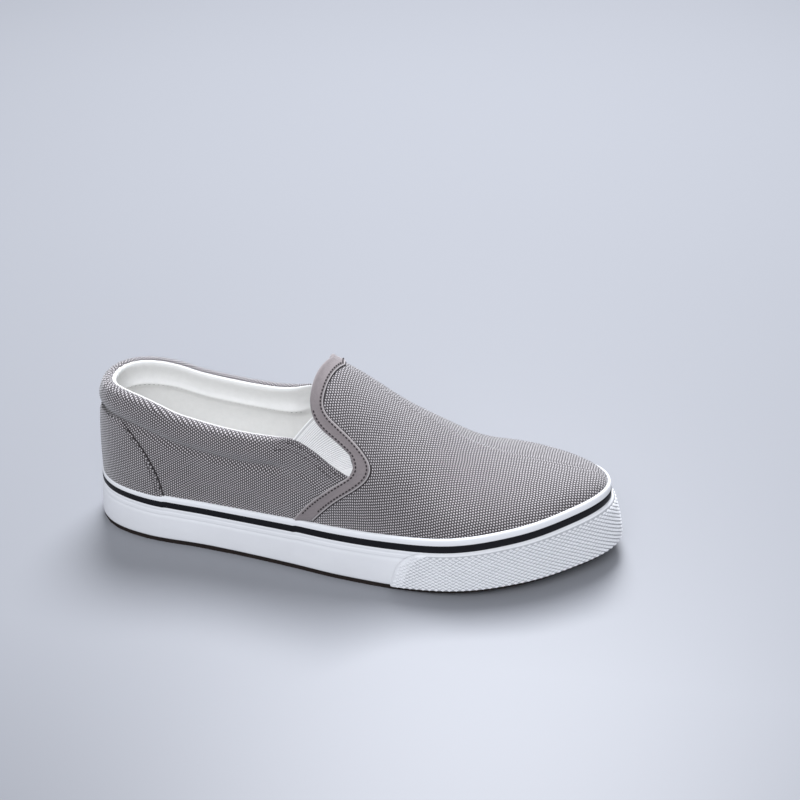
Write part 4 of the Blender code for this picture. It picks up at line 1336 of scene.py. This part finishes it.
# Lines of stitches that run a set depth below the collar's edge
def rimLine(side, depth, first, last, lift, count=160):
    along = np.linspace(first, last, count)
    t = roundFromAlong(along)
    rise = riseAtHeight(t, rimHeight(along) - depth)
    return lastPoint(t, side, rise, lift + upperLift(along, np.full(count, depth), t) + foldLift(t, side, rise)), lastNormal(t, side, rise)


def patchLine(side, share, first=0.06, last=0.97, count=120):
    climb = np.linspace(first, last, count)
    t, rise = patchPlace(climb, np.full(count, share))
    return lastPoint(t, side, rise, gap + patch["thickness"] + foldLift(t, side, rise)), lastNormal(t, side, rise)


canvasStitchLines = []
for side in (outer, inner):
    canvasStitchLines += [rimLine(side, 0.0026, 0.392, 0.520, 0.0), rimLine(side, 0.0062, 0.385, 0.505, 0.0),
                          patchLine(side, 0.972)]
canvasStitches = grow("canvas_stitches", canvasStitchLines, stitchTree,
                      {"Spacing": 0.0023, "Length": 0.0015, "Width": 0.00045, "Height": 0.0003, "Lift": 0.00006}, darkThread, "grey_canvas")
# Painted shade: a dark cord sunk at the heel patch's front edge stands for the shadow under that edge
patchEdgeShade = grow("overlay_edge_shade", [patchLine(side, 1.012, 0.0, 1.0) for side in (outer, inner)], pipingTree,
                 {"Radius": 0.00032, "Lift": -0.0009}, darkThread, "grey_canvas")


def liningLine(side):
    depth = collarLook["liningDepth"] * shoe["collarDepth"]
    along = np.concatenate([np.linspace(0.0005, 0.05, 40), np.linspace(0.05, 0.385, 140)[1:]])
    t = roundFromAlong(along)
    rise = riseAtHeight(t, rimHeight(along) - depth)
    lift = upperLift(along, np.full(len(along), depth), t) + foldLift(t, side, rise) - upperThickness(along, np.full(len(along), depth))
    return lastPoint(t, side, rise, lift), -lastNormal(t, side, rise)


liningStitches = grow("lining_stitches", [liningLine(outer), liningLine(inner)], stitchTree,
                      {"Spacing": 0.0026, "Length": 0.0015, "Width": 0.00045, "Height": 0.0003, "Lift": 0.00004},
                      threadFinish("lining thread", (0.22, 0.21, 0.20)), "insole_cloth")
print("trims and stitches made")

# Insole: a cloth-covered sheet with a shallow cup
insole = {"stations": 120, "across": 24, "cup": 0.0012, "edge": 0.0008}


def addInsole():
    t = np.linspace(0.022, 0.975, insole["stations"])
    along = alongFromRound(t)
    inset = lastInset + shoe["wall"] + gap
    a, b = outlineAt(t, outer, inset + 0 * t), outlineAt(t, inner, inset + 0 * t)
    share = (1 - np.cos(np.linspace(0, math.pi, insole["across"] + 1))) / 2
    xy = a[:, None] + (b - a)[:, None] * share[None, :, None]
    rim = np.abs(2 * share - 1)[None, :]
    low = (floorHeight(along) + gap)[:, None]
    high = low + shoe["insoleThickness"] - insole["edge"] * np.clip((rim - 0.94) / 0.06, 0, 1) ** 2 - insole["cup"] * (1 - rim ** 2) * 0.4
    top = np.concatenate([xy, (high + 0 * xy[..., 0])[..., None]], -1)
    bottom = np.concatenate([xy, (low + 0 * xy[..., 0])[..., None]], -1)
    rows, across = top.shape[:2]
    quads = [(i * across + j, i * across + j + 1, (i + 1) * across + j + 1, (i + 1) * across + j)
             for i in range(rows - 1) for j in range(across - 1)]
    points, faces, kinds, source = closeWall(top.reshape(-1, 3), bottom.reshape(-1, 3), quads, [0.0003] * (rows * across), (0.25, 0.5, 0.75), (0, 0, 0))
    place = xy.reshape(-1, 2)
    flip = signedSize(points, faces) < 0
    uv = np.concatenate([place[source[list(f)]][::-1] if flip else place[source[list(f)]] for f in faces])
    if flip:
        faces = [tuple(reversed(f)) for f in faces]
    return placed(addMesh("insole_sheet", points, faces, [lining], None, uv), "insole_cloth", "insole")


insoleSheet = addInsole()
print("insole made")

# Camera at the photograph's angle, in millimetres and degrees
view = {"azimuth": 12.7, "elevation": 32.8, "distance": 950.0, "aimHeight": 32.6, "focal": 1710.0, "yaw": 0.0282, "pitch": 0.044,
        "roll": -1.67, "sensor": 36.0, "imageWidth": 800}


def addCamera():
    az, el, roll = (math.radians(view[k]) for k in ("azimuth", "elevation", "roll"))
    back = Vector((math.sin(az) * math.cos(el), -math.cos(az) * math.cos(el), math.sin(el)))
    right = Vector((math.cos(az), math.sin(az), 0))
    up = back.cross(right)
    right, up = right * math.cos(roll) + up * math.sin(roll), up * math.cos(roll) - right * math.sin(roll)
    xAxis = right * math.cos(view["yaw"]) + back * math.sin(view["yaw"])
    ahead = right * math.sin(view["yaw"]) - back * math.cos(view["yaw"])
    yAxis = up * math.cos(view["pitch"]) - ahead * math.sin(view["pitch"])
    ahead = up * math.sin(view["pitch"]) + ahead * math.cos(view["pitch"])
    data = bpy.data.cameras.new("camera")
    data.sensor_width = view["sensor"]
    data.lens = view["focal"] * view["sensor"] / view["imageWidth"]
    data.clip_start, data.clip_end = 0.05, 50
    camera = bpy.data.objects.new("camera", data)
    bpy.context.scene.collection.objects.link(camera)
    eye = Vector((0, 0, view["aimHeight"])) * 0.001 + back * view["distance"] * 0.001 + shift
    turn = Matrix((xAxis, yAxis, -ahead)).transposed()
    camera.matrix_world = Matrix.Translation(eye) @ turn.to_4x4()
    bpy.context.scene.camera = camera


addCamera()

# Studio: pale floor and soft light
studio = {"floor": 5.0, "world": colour(0.90, 0.94, 1.03), "worldStrength": 0.48, "tint": (0.95, 0.975, 1.04),
          "key": (0.9, (-0.05, 0.95, 1.40), (0.03, 0.0, 0.03), 45.0), "fill": (1.8, (0.10, -1.80, 1.90), (0.0, 0.0, 0.04), 42.0)}


def addStudio():
    size = studio["floor"]
    mesh = bpy.data.meshes.new("floor")
    mesh.from_pydata([(-size, -size, 0), (size, -size, 0), (size, size, 0), (-size, size, 0)], [], [(0, 1, 2, 3)])
    mesh.materials.append(floorFinish())
    floor = bpy.data.objects.new("floor", mesh)
    bpy.context.scene.collection.objects.link(floor)
    for name in ("key", "fill"):
        width, at, aim, power = studio[name]
        data = bpy.data.lights.new(name, "AREA")
        data.shape = "DISK"
        data.size = width
        data.energy = power
        data.color = studio["tint"]
        light = bpy.data.objects.new(name, data)
        bpy.context.scene.collection.objects.link(light)
        light.location = at
        light.rotation_euler = (Vector(aim) - Vector(at)).to_track_quat("-Z", "Y").to_euler()
    world = bpy.data.worlds.new("studio")
    world.use_nodes = True
    world.node_tree.nodes["Background"].inputs[0].default_value = studio["world"]
    world.node_tree.nodes["Background"].inputs[1].default_value = studio["worldStrength"]
    bpy.context.scene.world = world
    bpy.context.scene.view_settings.view_transform = "Standard"


addStudio()
print("studio made")
